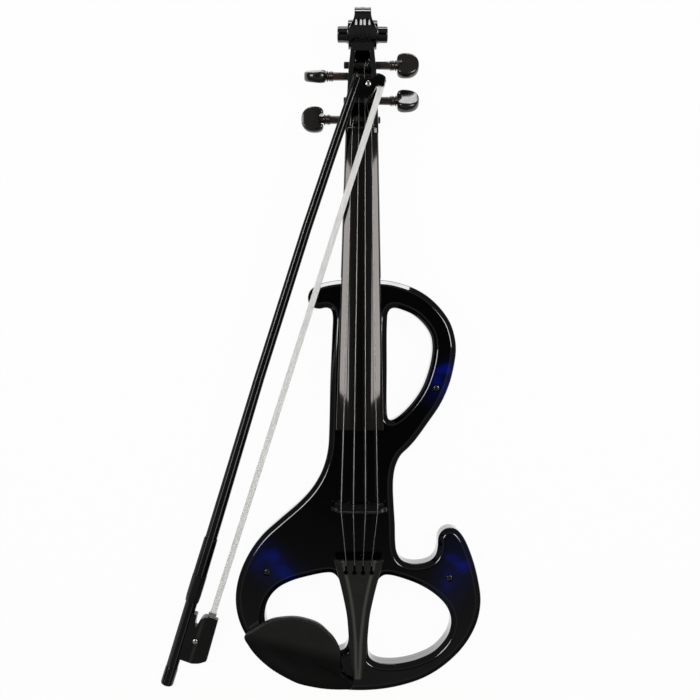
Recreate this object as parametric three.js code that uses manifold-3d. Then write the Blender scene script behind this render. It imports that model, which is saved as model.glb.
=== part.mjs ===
// A full size electric violin with its bow. Millimetres, +Z up.
// The violin lies on its back: +Y runs towards the scroll, +X towards the treble side.
// The origin is on the plane of the back, under the bridge.
import * as THREE from 'three';
import { mergeVertices } from 'three/addons/utils/BufferGeometryUtils.js';
import Module from 'manifold-3d';

const wasm = await Module();
wasm.setup();

// Clearances
const gap = 0.3;
const runningGap = 0.35;
const overrun = 2;
const joinDepth = 1;
const weldDistance = 0.0001;

// Body: two shells that meet half way up
const bodyLength = 361;
const bodyHalfWidth = 107.6;
const bodyThickness = 25;
const bridgeShare = 0.4518;
const shellWall = 2.6;
const edgeHeight = 4.5;
const edgeInset = 3.4;
const columnWall = 2.4;

// Strings, from the nut to the keyholes of the tailpiece
const stringLength = 326;
const nutStringHeight = 33.9;
const bridgeStringHeight = 57;
const nutStringSpacing = 5.6;
const bridgeStringSpacing = 10.3;
const tailStringSpacing = 7.3;
const stringArchRadius = 48;
const stringRadius = 0.4;

// Fingerboard and nut
const boardLength = 256;
const boardNutWidth = 27.3;
const boardEndWidth = 40.6;
const boardTopAtNut = 33;
const boardTopAtEnd = 48;
const boardEdgeThickness = 5;
const boardArchRadius = 42;
const nutLength = 5.3;
const nutWidth = 28.6;

// Neck and the tongue that is bolted to the body
const neckThickness = 13.5;
const neckHeelHalfWidth = 17.5;
const heelDrop = 15.6;
const tongueLength = 52;
const tongueHalfWidth = 12.5;
const neckBoltRadius = 2;
const neckBoltHeadRadius = 3.6;
const neckBoltHeadHeight = 2.2;
const neckBoltSink = 1.2;
const neckBoltTipHeight = 30.5;
const neckBoltSpread = 7;
const neckBoltInset = 12;
const neckBoltPitch = 26;

// Pegbox and scroll
const pegboxLength = 75;
const pegboxHalfWidth = 14.4;
const pegboxTop = 31;
const pegboxWall = 4.6;
const pegboxFloor = 4.2;
const channelInset = 4;
const channelLead = 1.1;
const channelLeadDrop = 4;
const scrollRadius = 22.8;
const scrollHeight = 19.2;
const scrollTurnHalfWidth = 7.3;
const scrollShoulderRadius = 12.7;
const scrollShoulderHalfWidth = 12.9;
const scrollEyeRadius = 7.1;
const scrollEyeHalfWidth = 22.3;
const scrollCentreInset = 9;

// Pegs and windings
const pegShaftRadius = 3.6;
const pegTipRadius = 3.1;
const pegTipLength = 1.8;
const pegCollarLength = 6.4;
const pegCollarRadius = 4.8;
const pegCollarWaist = 3.8;
const pegHeadLength = 19.4;
const pegHeadHalfHeight = 11.5;
const pegHeadHalfThickness = 4.9;
const pegBiteRadius = 5;
const windingPitch = 1.3;
const windingGap = 0.25;

// Bridge and pickup
const bridgeHalfWidth = 23.8;
const bridgeFootThickness = 4.4;
const bridgeTopThickness = 1.8;
const bridgeHeartRadius = 3;
const pickupRadius = 10;
const pickupThickness = 1;

// Tailpiece
const afterLength = 44;
const tailEndInset = 14;
const tailHalfWidth = 21.2;
const tailTopHeight = 46;
const tailEndHeight = 33;
const tailPlate = 3.4;
const tailSkirt = 6.4;
const tailBevelDrop = 2.8;
const tailRidgeLength = 2.2;
const tailRidgeRise = 0.8;
const keyholeInset = 10.5;
const keyholeRadius = 2.05;
const keyslotHalfWidth = 0.8;
const ballRadius = 1.9;
const ballLength = 3.4;
const tailFootHalfWidth = 3.3;
const tailFootLength = 12;
const tailFootInset = 6;

// Chin rest
const chinRestFloor = 26.6;
const chinRestLow = 34;
const chinRestHigh = 39.8;
const chinRestEdge = 2.2;
const chinRestUndercut = 4;
const chinDishHalfLength = 36;
const chinDishHalfWidth = 20;
const chinDishDepth = 5.6;
const chinFootRadius = 5.4;

// Screws
const screwRadius = 1.5;
const screwHeadRadius = 2.8;
const screwHeadHeight = 1.7;
const screwSink = 0.9;
const screwCrossWidth = 0.8;
const screwCrossDepth = 0.9;
const bodyScrewTipHeight = 7;
const longScrewTipHeight = 31.5;

// Battery, its snap and its door
const batteryLength = 48.5;
const batteryWidth = 26.5;
const batteryThickness = 17.5;
const batteryInset = 89.3;
const batteryClearance = 0.8;
const bayWall = 1.6;
const bayWallHeight = 7;
const snapLength = 4.6;
const snapWidth = 22;
const snapHeight = 11;
const doorLength = 60;
const doorWidth = 31;
const doorThickness = 2;
const doorSink = 0.5;
const doorHingeRadius = 1.3;
const doorHingeInset = 1.8;
const doorSideGap = 0.5;
const doorEndGap = 0.9;

// Preamp board with the controls on it
const boardPlateLength = bodyHalfWidth / 2;
const boardPlateWidth = 30;
const boardPlateThickness = 1.6;
const boardPlateHeight = 17.5;
const boardPlateCentreX = -1;
const controlSpread = 0.13;
const boardPlateCentreY = -26;
const boardPostRadius = 2.4;
const boardPostInset = 3.4;
const chipLength = 10;
const chipWidth = 6;
const chipHeight = 1.8;
const volumeX = controlSpread * bodyHalfWidth;
const volumeWellRadius = 11.5;
const volumeWellDepth = 8;
const volumeKnobRadius = 8.4;
const volumeKnobHeight = 6;
const volumeKnobSink = 1;
const volumeShaftRadius = 3;
const volumePotRadius = 8;
const switchX = -controlSpread * bodyHalfWidth;
const switchWellLength = 20;
const switchWellWidth = 11;
const switchWellDepth = 4;
const switchTravel = 3;
const sliderLength = 6;
const sliderWidth = 5;
const sliderHeight = 2.4;
const sliderStem = 2.4;
const switchCaseLength = 14;
const switchCaseWidth = 8;

// Line out jack in the bass side wall
const jackSpan = 0.218;
const jackBarrelRadius = 3;
const jackBore = 1.85;
const jackCaseLength = 12;
const jackCaseWidth = 9;
const jackCaseHeight = 8;
const jackWellRadius = 6.2;
const jackWellDepth = 2.6;
const jackPlateThickness = 2.6;
const jackNutAcross = 8;
const jackNutThickness = 1.6;
const leadRadius = 0.9;
const leadLimbShare = 0.8;

// Bow, in its own frame: along the stick from the screw knob, across towards the hair
const bowSideReach = 61.7;
const bowButtY = -160.5;
const bowButtHeight = 6.2;
const bowCrossing = 57.25;
const bowRestGap = 0.4;
const bowStickStart = 14.2;
const bowStickEnd = 554;
const bowButtRadius = 5.2;
const bowTipRadius = 4.1;
const bowCamber = 2.3;
const bowHeadLength = 25;
const bowHeadReach = 26.4;
const bowHeadHalfThickness = 3.5;
const bowHairOffset = 20.6;
const bowHairHeadOffset = 23;
const bowHairWidth = 5.2;
const bowHairThickness = 2.4;
const bowHairEnd = 560;
const bowFrogStart = 23.4;
const bowFrogEnd = 67.6;
const bowFrogReach = 27.9;
const bowFrogHalfThickness = 5.6;
const bowGripStart = 76;
const bowGripLength = 25.5;
const bowGripRadius = 6.5;
const bowLappingLength = 33.5;
const bowLappingThickness = 0.95;
const bowKnobLength = 18;
const bowKnobRadius = 5.7;
const bowScrewRadius = 1.6;
const bowScrewLength = 50;
const eyeletLength = 6;
const eyeletHalfWidth = 2.6;
const frogTravel = 6;
const frogScrewAlong = 44.2;
const frogScrewAcross = 13.3;
const headScrewAcross = 12;
const headScrewInset = 2.3;
const ferruleLength = 4;
const ferruleWall = 0.8;

// Facets round a circle
const fineSides = 24;
const plainSides = 16;
const coarseSides = 10;
const screwSides = 8;
const stringSides = 6;
const windingSteps = 24;
const windingSides = 5;

// Levels and places that follow from the sizes above
const bodyBottomY = -bridgeShare * bodyLength;
const bodyTopY = bodyBottomY + bodyLength;
const batteryCentreY = bodyTopY - batteryInset;
const partingHeight = bodyThickness / 2;
const nutFrontY = stringLength - nutLength / 2;
const nutBackY = nutFrontY + nutLength;
const boardEndY = nutFrontY - gap - boardLength;
const tailTopY = -afterLength;
const tailEndY = bodyBottomY + tailEndInset;
const tailLength = tailTopY - tailEndY;
const scrollY = nutBackY + pegboxLength + scrollCentreInset;
const jackY = bodyBottomY + jackSpan * bodyLength;

// Outlines, as shares of the body's half width and of its length from the bottom
const bodyOutlineShares = [
  [0, 1], [0.175, 0.998], [0.26, 0.995], [0.393, 0.984], [0.483, 0.972], [0.572, 0.954],
  [0.663, 0.927], [0.734, 0.895], [0.771, 0.861], [0.782, 0.831], [0.768, 0.794],
  [0.729, 0.746], [0.659, 0.698], [0.545, 0.647], [0.456, 0.61], [0.4, 0.591],
  [0.336, 0.572], [0.297, 0.547], [0.28, 0.52], [0.277, 0.494], [0.282, 0.459],
  [0.294, 0.406], [0.299, 0.36], [0.311, 0.337], [0.348, 0.319], [0.41, 0.311],
  [0.491, 0.31], [0.579, 0.317], [0.626, 0.331], [0.643, 0.352], [0.649, 0.376],
  [0.686, 0.392], [0.741, 0.398], [0.795, 0.394], [0.849, 0.377], [0.919, 0.332],
  [0.976, 0.271], [0.998, 0.218], [0.965, 0.165], [0.871, 0.113], [0.722, 0.067],
  [0.546, 0.033], [0.341, 0.012], [0.138, 0.002], [-0.074, 0.001], [-0.341, 0.012],
  [-0.546, 0.033], [-0.722, 0.067], [-0.871, 0.113], [-0.967, 0.165], [-1, 0.218],
  [-0.974, 0.275], [-0.893, 0.332], [-0.785, 0.377], [-0.655, 0.413], [-0.484, 0.458],
  [-0.388, 0.49], [-0.317, 0.525], [-0.277, 0.557], [-0.255, 0.591], [-0.248, 0.635],
  [-0.242, 0.757], [-0.229, 0.867], [-0.227, 0.912], [-0.242, 0.926], [-0.279, 0.93],
  [-0.333, 0.927], [-0.386, 0.93], [-0.42, 0.94], [-0.43, 0.955], [-0.415, 0.97],
  [-0.377, 0.981], [-0.321, 0.989], [-0.162, 0.998],
];
const armOpeningShares = [
  [0.219, 0.787], [0.218, 0.895], [0.225, 0.918], [0.249, 0.928], [0.281, 0.93],
  [0.337, 0.926], [0.435, 0.913], [0.52, 0.89], [0.573, 0.865], [0.588, 0.839],
  [0.583, 0.813], [0.558, 0.778], [0.507, 0.737], [0.431, 0.702], [0.335, 0.672],
  [0.268, 0.659], [0.236, 0.66], [0.225, 0.672],
];
const bassOpeningShares = [
  [-0.149, 0.263], [-0.173, 0.276], [-0.21, 0.285], [-0.26, 0.286], [-0.385, 0.279],
  [-0.547, 0.265], [-0.653, 0.248], [-0.72, 0.226], [-0.754, 0.2], [-0.758, 0.171],
  [-0.716, 0.135], [-0.595, 0.1], [-0.428, 0.085], [-0.26, 0.089], [-0.153, 0.097],
  [-0.104, 0.104], [-0.081, 0.121], [-0.08, 0.158], [-0.089, 0.197], [-0.115, 0.235],
];
const trebleOpeningShares = [
  [0.149, 0.262], [0.175, 0.274], [0.212, 0.281], [0.26, 0.281], [0.345, 0.275],
  [0.507, 0.257], [0.643, 0.231], [0.724, 0.204], [0.756, 0.175], [0.74, 0.143],
  [0.688, 0.118], [0.606, 0.095], [0.442, 0.074], [0.269, 0.066], [0.144, 0.071],
  [0.093, 0.083], [0.081, 0.108], [0.081, 0.153], [0.09, 0.194], [0.115, 0.232],
];
const chinRestShares = [
  [-0.913, 0.142], [-0.817, 0.164], [-0.705, 0.183], [-0.595, 0.189], [-0.509, 0.19],
  [-0.426, 0.186], [-0.314, 0.174], [-0.239, 0.155], [-0.189, 0.139], [-0.145, 0.114],
  [-0.136, 0.089], [-0.13, 0.06], [-0.112, 0.048], [-0.075, 0.041], [-0.039, 0.032],
  [-0.033, 0.023], [-0.052, 0.015], [-0.102, 0.013], [-0.254, 0.014], [-0.366, 0.019],
  [-0.478, 0.027], [-0.59, 0.043], [-0.703, 0.064], [-0.815, 0.094], [-0.883, 0.121],
];
const bodyScrewShares = [[0.622, 0.737], [-0.743, 0.288], [0.74, 0.277]];
const chinScrewShares = [[-0.81, 0.132], [-0.372, 0.053]];
const chinDishShare = [-0.525, 0.1];

// Half of the bridge seen from the nut: shares of its half width and of its height
const bridgeShares = [
  [0, 0.27], [0.2, 0.245], [0.35, 0.12], [0.37, 0], [0.87, 0], [0.89, 0.07], [0.74, 0.14],
  [0.69, 0.25], [0.8, 0.38], [0.98, 0.5], [1, 0.6], [0.87, 0.66], [0.8, 0.76], [0.8, 0.875],
  [0.72, 0.903], [0.5, 0.953], [0.25, 0.988], [0, 1],
];

// Neck sections: share of the neck's length, share of the heel's drop
const heelShares = [[0, 1], [0.055, 0.96], [0.12, 0.7], [0.19, 0.4], [0.28, 0.14], [0.4, 0], [1, 0]];
// Pegbox sections: share of its length, of its half width, of its top level twice
const pegboxShares = [
  [0, 1, 1, 0.37], [0.148, 0.972, 0.987, 0.22], [0.414, 0.91, 0.955, 0.15],
  [0.68, 0.847, 0.923, 0.15], [0.867, 0.75, 0.9, 0.2], [1, 0.688, 0.884, 0.242],
];
// The outer turn of the scroll: shares of its radius along Y and Z
const scrollShares = [
  [-0.746, -0.548], [-0.395, -0.737], [0, -0.798], [0.417, -0.7], [0.768, -0.439],
  [0.965, -0.088], [0.99, 0.263], [0.833, 0.57], [0.548, 0.746], [0.219, 0.768],
  [-0.088, 0.636], [-0.285, 0.395], [-0.439, 0.22], [-0.746, 0.044],
];
// Tailpiece sections: share of its length, of its half width
const tailShares = [
  [0, 1], [0.324, 0.605], [0.486, 0.457], [0.62, 0.4], [0.756, 0.358], [0.9, 0.31],
  [0.957, 0.25], [1, 0.16],
];
const tailFlatShare = 0.52;
const tailHollowShare = 0.66;

// Bow outlines: shares of the head's length and reach, and of the frog's length and reach
const bowHeadShares = [
  [0, 0], [0.64, -0.06], [0.67, -0.02], [0.66, 0.14], [0.69, 0.34], [0.78, 0.52],
  [0.91, 0.61], [1, 0.71], [1, 0.82], [0.94, 0.94], [0.62, 0.97], [0.6, 0.73],
  [0.24, 0.69], [0.06, 0.42], [0, 0.16],
];
const bowFrogShares = [
  [0, 0.11], [0, 0.6], [0.03, 0.79], [0.11, 1], [1, 0.96], [0.99, 0.52], [0.94, 0.44],
  [0.86, 0.4], [0.78, 0.39], [0.74, 0.355], [0.76, 0.315], [0.86, 0.29], [0.985, 0.28],
  [0.985, 0.11],
];
// Stick sections: share of its length, share of the taper, share of the camber
const bowStickShares = [
  [0, 0, 0], [0.25, 0.02, -0.4], [0.5, 0.65, -1], [0.75, 0.85, -0.75], [0.88, 0.95, -0.05],
  [0.955, 1, 0.45], [1, 1, 0.8],
];

// The strings from bass to treble. The peg's place is a share of the pegbox's length,
// its height a share of the pegbox's top level, its head's start a share of the half width.
const strings = [
  { name: 'g', order: -1.5, side: -1, along: 0.119, height: 0.63, head: 2.34, turn: 0,
    coilStart: -0.5, coilWay: 1 },
  { name: 'd', order: -0.5, side: -1, along: 0.633, height: 0.58, head: 2.2, turn: -69,
    coilStart: -0.2, coilWay: -1 },
  { name: 'a', order: 0.5, side: 1, along: 0.767, height: 0.56, head: 2.12, turn: -18,
    coilStart: 0.12, coilWay: 1 },
  { name: 'e', order: 1.5, side: 1, along: 0.347, height: 0.61, head: 2.13, turn: -35,
    coilStart: 0.2, coilWay: 1 },
];
const windingLoops = 3;

// Finishes: colour, roughness, metalness
const finishes = {
  glossBlack: [0x08080a, 0.1, 0],
  satinBlack: [0x1e1e1c, 0.4, 0],
  ebony: [0x17130f, 0.35, 0],
  board: [0x0c0d0b, 0.15, 0],
  steel: [0xb8b8b4, 0.3, 1],
  brass: [0xb08a45, 0.35, 1],
  hair: [0xd8d8d2, 0.6, 0],
  circuit: [0x1f5a34, 0.5, 0],
  ceramic: [0xd9c27a, 0.4, 0],
  cell: [0x2c2f36, 0.4, 0.2],
  rubber: [0x141414, 0.8, 0],
};

// Solids

function withoutSlivers(index) {
  const kept = [];
  for (let i = 0; i < index.length; i += 3) {
    const [a, b, c] = [index[i], index[i + 1], index[i + 2]];
    if (a !== b && b !== c && c !== a) kept.push(a, b, c);
  }
  return kept;
}

function toSolid(geometry) {
  const bare = geometry.clone();
  bare.deleteAttribute('normal');
  bare.deleteAttribute('uv');
  const welded = mergeVertices(bare, weldDistance);
  return new wasm.Manifold(new wasm.Mesh({
    numProp: 3,
    vertProperties: new Float32Array(welded.attributes.position.array),
    triVerts: new Uint32Array(withoutSlivers(welded.index.array)),
  }));
}

function toGeometry(solid) {
  const mesh = solid.getMesh();
  const geometry = new THREE.BufferGeometry();
  geometry.setAttribute('position', new THREE.BufferAttribute(mesh.vertProperties, 3));
  geometry.setIndex(new THREE.BufferAttribute(mesh.triVerts, 1));
  geometry.computeVertexNormals();
  return geometry;
}

function joined(...solids) {
  return solids.reduce((whole, next) => whole.add(next));
}

function cutBy(solid, ...tools) {
  return tools.reduce((whole, tool) => whole.subtract(tool), solid);
}

function block([x0, x1], [y0, y1], [z0, z1]) {
  const geometry = new THREE.BoxGeometry(x1 - x0, y1 - y0, z1 - z0);
  geometry.translate((x0 + x1) / 2, (y0 + y1) / 2, (z0 + z1) / 2);
  return toSolid(geometry);
}

// A round or prismatic bar between two points
function bar(from, to, radius, sides = plainSides, endRadius = radius) {
  const way = to.clone().sub(from);
  const geometry = new THREE.CylinderGeometry(endRadius, radius, way.length(), sides);
  geometry.applyQuaternion(new THREE.Quaternion().setFromUnitVectors(
    new THREE.Vector3(0, 1, 0), way.clone().normalize()));
  const middle = from.clone().add(to).multiplyScalar(0.5);
  geometry.translate(middle.x, middle.y, middle.z);
  return toSolid(geometry);
}

// A cutter whose flat sides keep the given radius
function bore(from, to, radius, sides = plainSides) {
  return bar(from, to, radius / Math.cos(Math.PI / sides), sides);
}

function uprightBore(x, y, z0, z1, radius, sides = plainSides) {
  return bore(new THREE.Vector3(x, y, z0), new THREE.Vector3(x, y, z1), radius, sides);
}

function crossBore(y, z, x0, x1, radius, sides = plainSides) {
  return bore(new THREE.Vector3(x0, y, z), new THREE.Vector3(x1, y, z), radius, sides);
}

function uprightBar(x, y, z0, z1, radius, sides = plainSides) {
  return bar(new THREE.Vector3(x, y, z0), new THREE.Vector3(x, y, z1), radius, sides);
}

function crossBar(y, z, x0, x1, radius, sides = plainSides) {
  return bar(new THREE.Vector3(x0, y, z), new THREE.Vector3(x1, y, z), radius, sides);
}

function plate(points, z0, z1, openings = []) {
  const shape = new THREE.Shape(points);
  shape.holes = openings.map((loop) => new THREE.Path(loop));
  const geometry = new THREE.ExtrudeGeometry(shape, { depth: z1 - z0, bevelEnabled: false });
  geometry.translate(0, 0, z0);
  return toSolid(geometry);
}

// An extruded outline of (y, z) points that runs along X
function plateAlongX(points, x0, x1) {
  const geometry = new THREE.ExtrudeGeometry(new THREE.Shape(points),
    { depth: x1 - x0, bevelEnabled: false });
  geometry.applyMatrix4(new THREE.Matrix4().makeBasis(
    new THREE.Vector3(0, 1, 0), new THREE.Vector3(0, 0, 1), new THREE.Vector3(1, 0, 0)));
  geometry.translate(x0, 0, 0);
  return toSolid(geometry);
}

// An extruded outline of (x, z) points that runs along Y
function plateAlongY(points, y0, y1) {
  const geometry = new THREE.ExtrudeGeometry(new THREE.Shape(points),
    { depth: y1 - y0, bevelEnabled: false });
  geometry.applyMatrix4(new THREE.Matrix4().makeBasis(
    new THREE.Vector3(1, 0, 0), new THREE.Vector3(0, 0, 1), new THREE.Vector3(0, -1, 0)));
  geometry.translate(0, y1, 0);
  return toSolid(geometry);
}

// A solid of revolution of [radius, distance] pairs, turned from +Y to the given way
function turned(profile, way, at, sides = plainSides) {
  const points = profile.map(([radius, along]) => new THREE.Vector2(radius, along));
  const geometry = new THREE.LatheGeometry(points, sides);
  geometry.applyQuaternion(new THREE.Quaternion().setFromUnitVectors(
    new THREE.Vector3(0, 1, 0), way));
  geometry.translate(at.x, at.y, at.z);
  return toSolid(geometry);
}

function loopArea(points) {
  return THREE.ShapeUtils.area(points);
}

// A solid skinned over rings of as many points each, with flat ends
function skinned(rings, flatten) {
  const count = rings[0].length;
  const position = rings.flat().flatMap((point) => [point.x, point.y, point.z]);
  const index = [];
  for (let ring = 0; ring + 1 < rings.length; ring += 1) {
    for (let i = 0; i < count; i += 1) {
      const next = (i + 1) % count;
      const low = ring * count;
      const high = low + count;
      index.push(low + i, low + next, high + next, low + i, high + next, high + i);
    }
  }
  [0, rings.length - 1].forEach((ring) => {
    const flat = rings[ring].map(flatten);
    const way = Math.sign(loopArea(flat)) * (ring === 0 ? -1 : 1);
    THREE.ShapeUtils.triangulateShape(flat, []).forEach(([a, b, c]) => {
      const turn = Math.sign(loopArea([flat[a], flat[b], flat[c]]));
      const loop = turn * Math.sign(loopArea(flat)) === (ring === 0 ? -1 : 1) ? [a, b, c] : [a, c, b];
      if (way !== 0) index.push(...loop.map((corner) => ring * count + corner));
    });
  });
  const geometry = new THREE.BufferGeometry();
  geometry.setAttribute('position', new THREE.Float32BufferAttribute(position, 3));
  geometry.setIndex(index);
  const solid = toSolid(geometry);
  if (solid.volume() > 0) return solid;
  for (let i = 0; i < index.length; i += 3) {
    [index[i + 1], index[i + 2]] = [index[i + 2], index[i + 1]];
  }
  geometry.setIndex(index);
  return toSolid(geometry);
}

const flattenXZ = (point) => new THREE.Vector2(point.x, point.z);
const flattenXY = (point) => new THREE.Vector2(point.x, point.y);

// A path that passes through its points, with a step at each of them
class PointPath extends THREE.Curve {
  constructor(points) {
    super();
    this.points = points;
  }

  getPoint(share, target = new THREE.Vector3()) {
    const place = share * (this.points.length - 1);
    const start = Math.min(Math.floor(place + weldDistance), this.points.length - 2);
    return target.lerpVectors(this.points[start], this.points[start + 1], place - start);
  }

  getPointAt(share, target) {
    return this.getPoint(share, target);
  }

  getTangentAt(share, target = new THREE.Vector3()) {
    const place = Math.round(share * (this.points.length - 1));
    const before = this.points[Math.max(place - 1, 0)];
    const after = this.points[Math.min(place + 1, this.points.length - 1)];
    return target.subVectors(after, before).normalize();
  }
}

function tube(points, radius, sides = stringSides) {
  const section = [];
  for (let i = 0; i < sides; i += 1) {
    const angle = 2 * Math.PI * i / sides;
    section.push(new THREE.Vector2(radius * Math.cos(angle), radius * Math.sin(angle)));
  }
  const geometry = new THREE.ExtrudeGeometry(new THREE.Shape(section), {
    steps: points.length - 1, bevelEnabled: false, extrudePath: new PointPath(points),
  });
  const solid = toSolid(geometry);
  return solid;
}

function smoothLoop(points, steps) {
  const curve = new THREE.CatmullRomCurve3(
    points.map((point) => new THREE.Vector3(point.x, point.y, 0)), true, 'centripetal');
  const loop = curve.getPoints(steps).slice(0, steps)
    .map((point) => new THREE.Vector2(point.x, point.y));
  return loopArea(loop) > 0 ? loop : loop.reverse();
}

// Moves a loop's points inwards, or outwards where the distance is negative
function insetLoop(points, distance) {
  const way = Math.sign(loopArea(points));
  return points.map((point, i) => {
    const before = points[(i + points.length - 1) % points.length];
    const after = points[(i + 1) % points.length];
    const along = after.clone().sub(before).normalize();
    return new THREE.Vector2(point.x - way * along.y * distance, point.y + way * along.x * distance);
  });
}

// Draws a loop's points towards its centre, by the given distance at their mean radius
function drawnIn(points, centre, distance) {
  const mean = points.reduce((sum, point) => sum + point.distanceTo(centre), 0) / points.length;
  return points.map((point) => point.clone().lerp(centre, distance / mean));
}

function bodyPoint([across, up]) {
  return new THREE.Vector2(across * bodyHalfWidth, bodyBottomY + up * bodyLength);
}

function mixed(from, to, share) {
  return from + (to - from) * share;
}

function archDrop(across, radius) {
  return radius - Math.sqrt(radius * radius - across * across);
}

// Body

const outlineSteps = 96;
const openingSteps = 24;
const chinRestSteps = 38;
const scrollSteps = 28;
const bodyLoop = smoothLoop(bodyOutlineShares.map(bodyPoint), outlineSteps);
const openingLoops = [armOpeningShares, bassOpeningShares, trebleOpeningShares]
  .map((shares) => smoothLoop(shares.map(bodyPoint), openingSteps));

const bodyScrewPlaces = bodyScrewShares.map(bodyPoint);
const chinScrewPlaces = chinScrewShares.map(bodyPoint);
const tailScrewPlace = new THREE.Vector2(0, tailEndY + tailFootInset);
const neckBoltPlaces = [
  new THREE.Vector2(-neckBoltSpread, bodyTopY - neckBoltInset),
  new THREE.Vector2(neckBoltSpread, bodyTopY - neckBoltInset),
  new THREE.Vector2(0, bodyTopY - neckBoltInset - neckBoltPitch),
];
const jackWallX = -bodyHalfWidth;

function roundedBody() {
  const shape = new THREE.Shape(bodyLoop);
  shape.holes = openingLoops.map((loop) => new THREE.Path(loop));
  const geometry = new THREE.ExtrudeGeometry(shape, {
    depth: bodyThickness - 2 * edgeHeight,
    bevelThickness: edgeHeight,
    bevelSize: edgeInset,
    bevelOffset: -edgeInset,
    bevelSegments: 2,
  });
  geometry.translate(0, 0, edgeHeight);
  return toSolid(geometry);
}

function bodyHollow(z0, z1) {
  return plate(insetLoop(bodyLoop, shellWall), z0, z1,
    openingLoops.map((loop) => insetLoop(loop, -shellWall)));
}

// Posts that the screws pass through or bite into, cut to the body's form
function columns(places, radius, z0, z1) {
  return places.map((place) => uprightBar(place.x, place.y, z0, z1, radius + columnWall,
    coarseSides));
}

function jackSeat() {
  const inside = jackWallX + jackWellDepth + jackPlateThickness;
  return crossBar(jackY, partingHeight, jackWallX + shellWall / 2, inside,
    jackWellRadius + columnWall, plainSides);
}

function jackCuts() {
  const outside = jackWallX - overrun;
  return [
    crossBar(jackY, partingHeight, outside, jackWallX + jackWellDepth, jackWellRadius),
    crossBore(jackY, partingHeight, outside, jackWallX + 2 * jackWellDepth + jackPlateThickness,
      jackBarrelRadius + gap),
  ];
}

const longScrewPlaces = [...chinScrewPlaces, tailScrewPlace];

function makeFrontShell(form) {
  const low = partingHeight + gap / 2;
  const everywhere = bodyHalfWidth + overrun;
  const half = form.intersect(block([-everywhere, everywhere],
    [bodyBottomY - overrun, bodyTopY + overrun], [low, bodyThickness + overrun]));
  const hollow = half.subtract(bodyHollow(partingHeight - overrun, bodyThickness - shellWall));
  const posts = joined(
    ...columns(bodyScrewPlaces, screwHeadRadius, low, bodyThickness - shellWall),
    ...columns(longScrewPlaces, screwHeadRadius, low, bodyThickness - shellWall),
    ...columns(neckBoltPlaces, neckBoltHeadRadius, low, bodyThickness - shellWall),
    jackSeat(),
  ).intersect(half);
  const past = bodyThickness + overrun;
  const sunk = bodyThickness - screwSink - screwHeadHeight - gap;
  return cutBy(hollow.add(posts),
    ...bodyScrewPlaces.map(({ x, y }) => uprightBore(x, y, low - overrun, past,
      screwRadius + gap, coarseSides)),
    ...bodyScrewPlaces.map(({ x, y }) => uprightBore(x, y, sunk, past, screwHeadRadius + gap)),
    ...longScrewPlaces.map(({ x, y }) => uprightBore(x, y, low - overrun, past,
      screwRadius + gap, coarseSides)),
    ...neckBoltPlaces.map(({ x, y }) => uprightBore(x, y, low - overrun, past,
      neckBoltRadius + gap, coarseSides)),
    ...jackCuts());
}

const boardPostPlaces = [-1, 1].flatMap((sideX) => [-1, 1].map((sideY) => new THREE.Vector2(
  boardPlateCentreX + sideX * (boardPlateLength / 2 - boardPostInset),
  boardPlateCentreY + sideY * (boardPlateWidth / 2 - boardPostInset))));
const bayHalfWidth = batteryWidth / 2 + batteryClearance;
const bayLowY = batteryCentreY - batteryLength / 2 - snapLength - batteryClearance;
const bayHighY = batteryCentreY + batteryLength / 2 + batteryClearance;
const doorLowY = (bayLowY + bayHighY) / 2 - doorLength / 2;
const doorHighY = doorLowY + doorLength;
const doorHinge = {
  y: doorHighY - doorHingeInset,
  z: doorSink + doorHingeRadius,
};
const doorCeiling = doorSink + doorThickness + gap;

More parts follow.
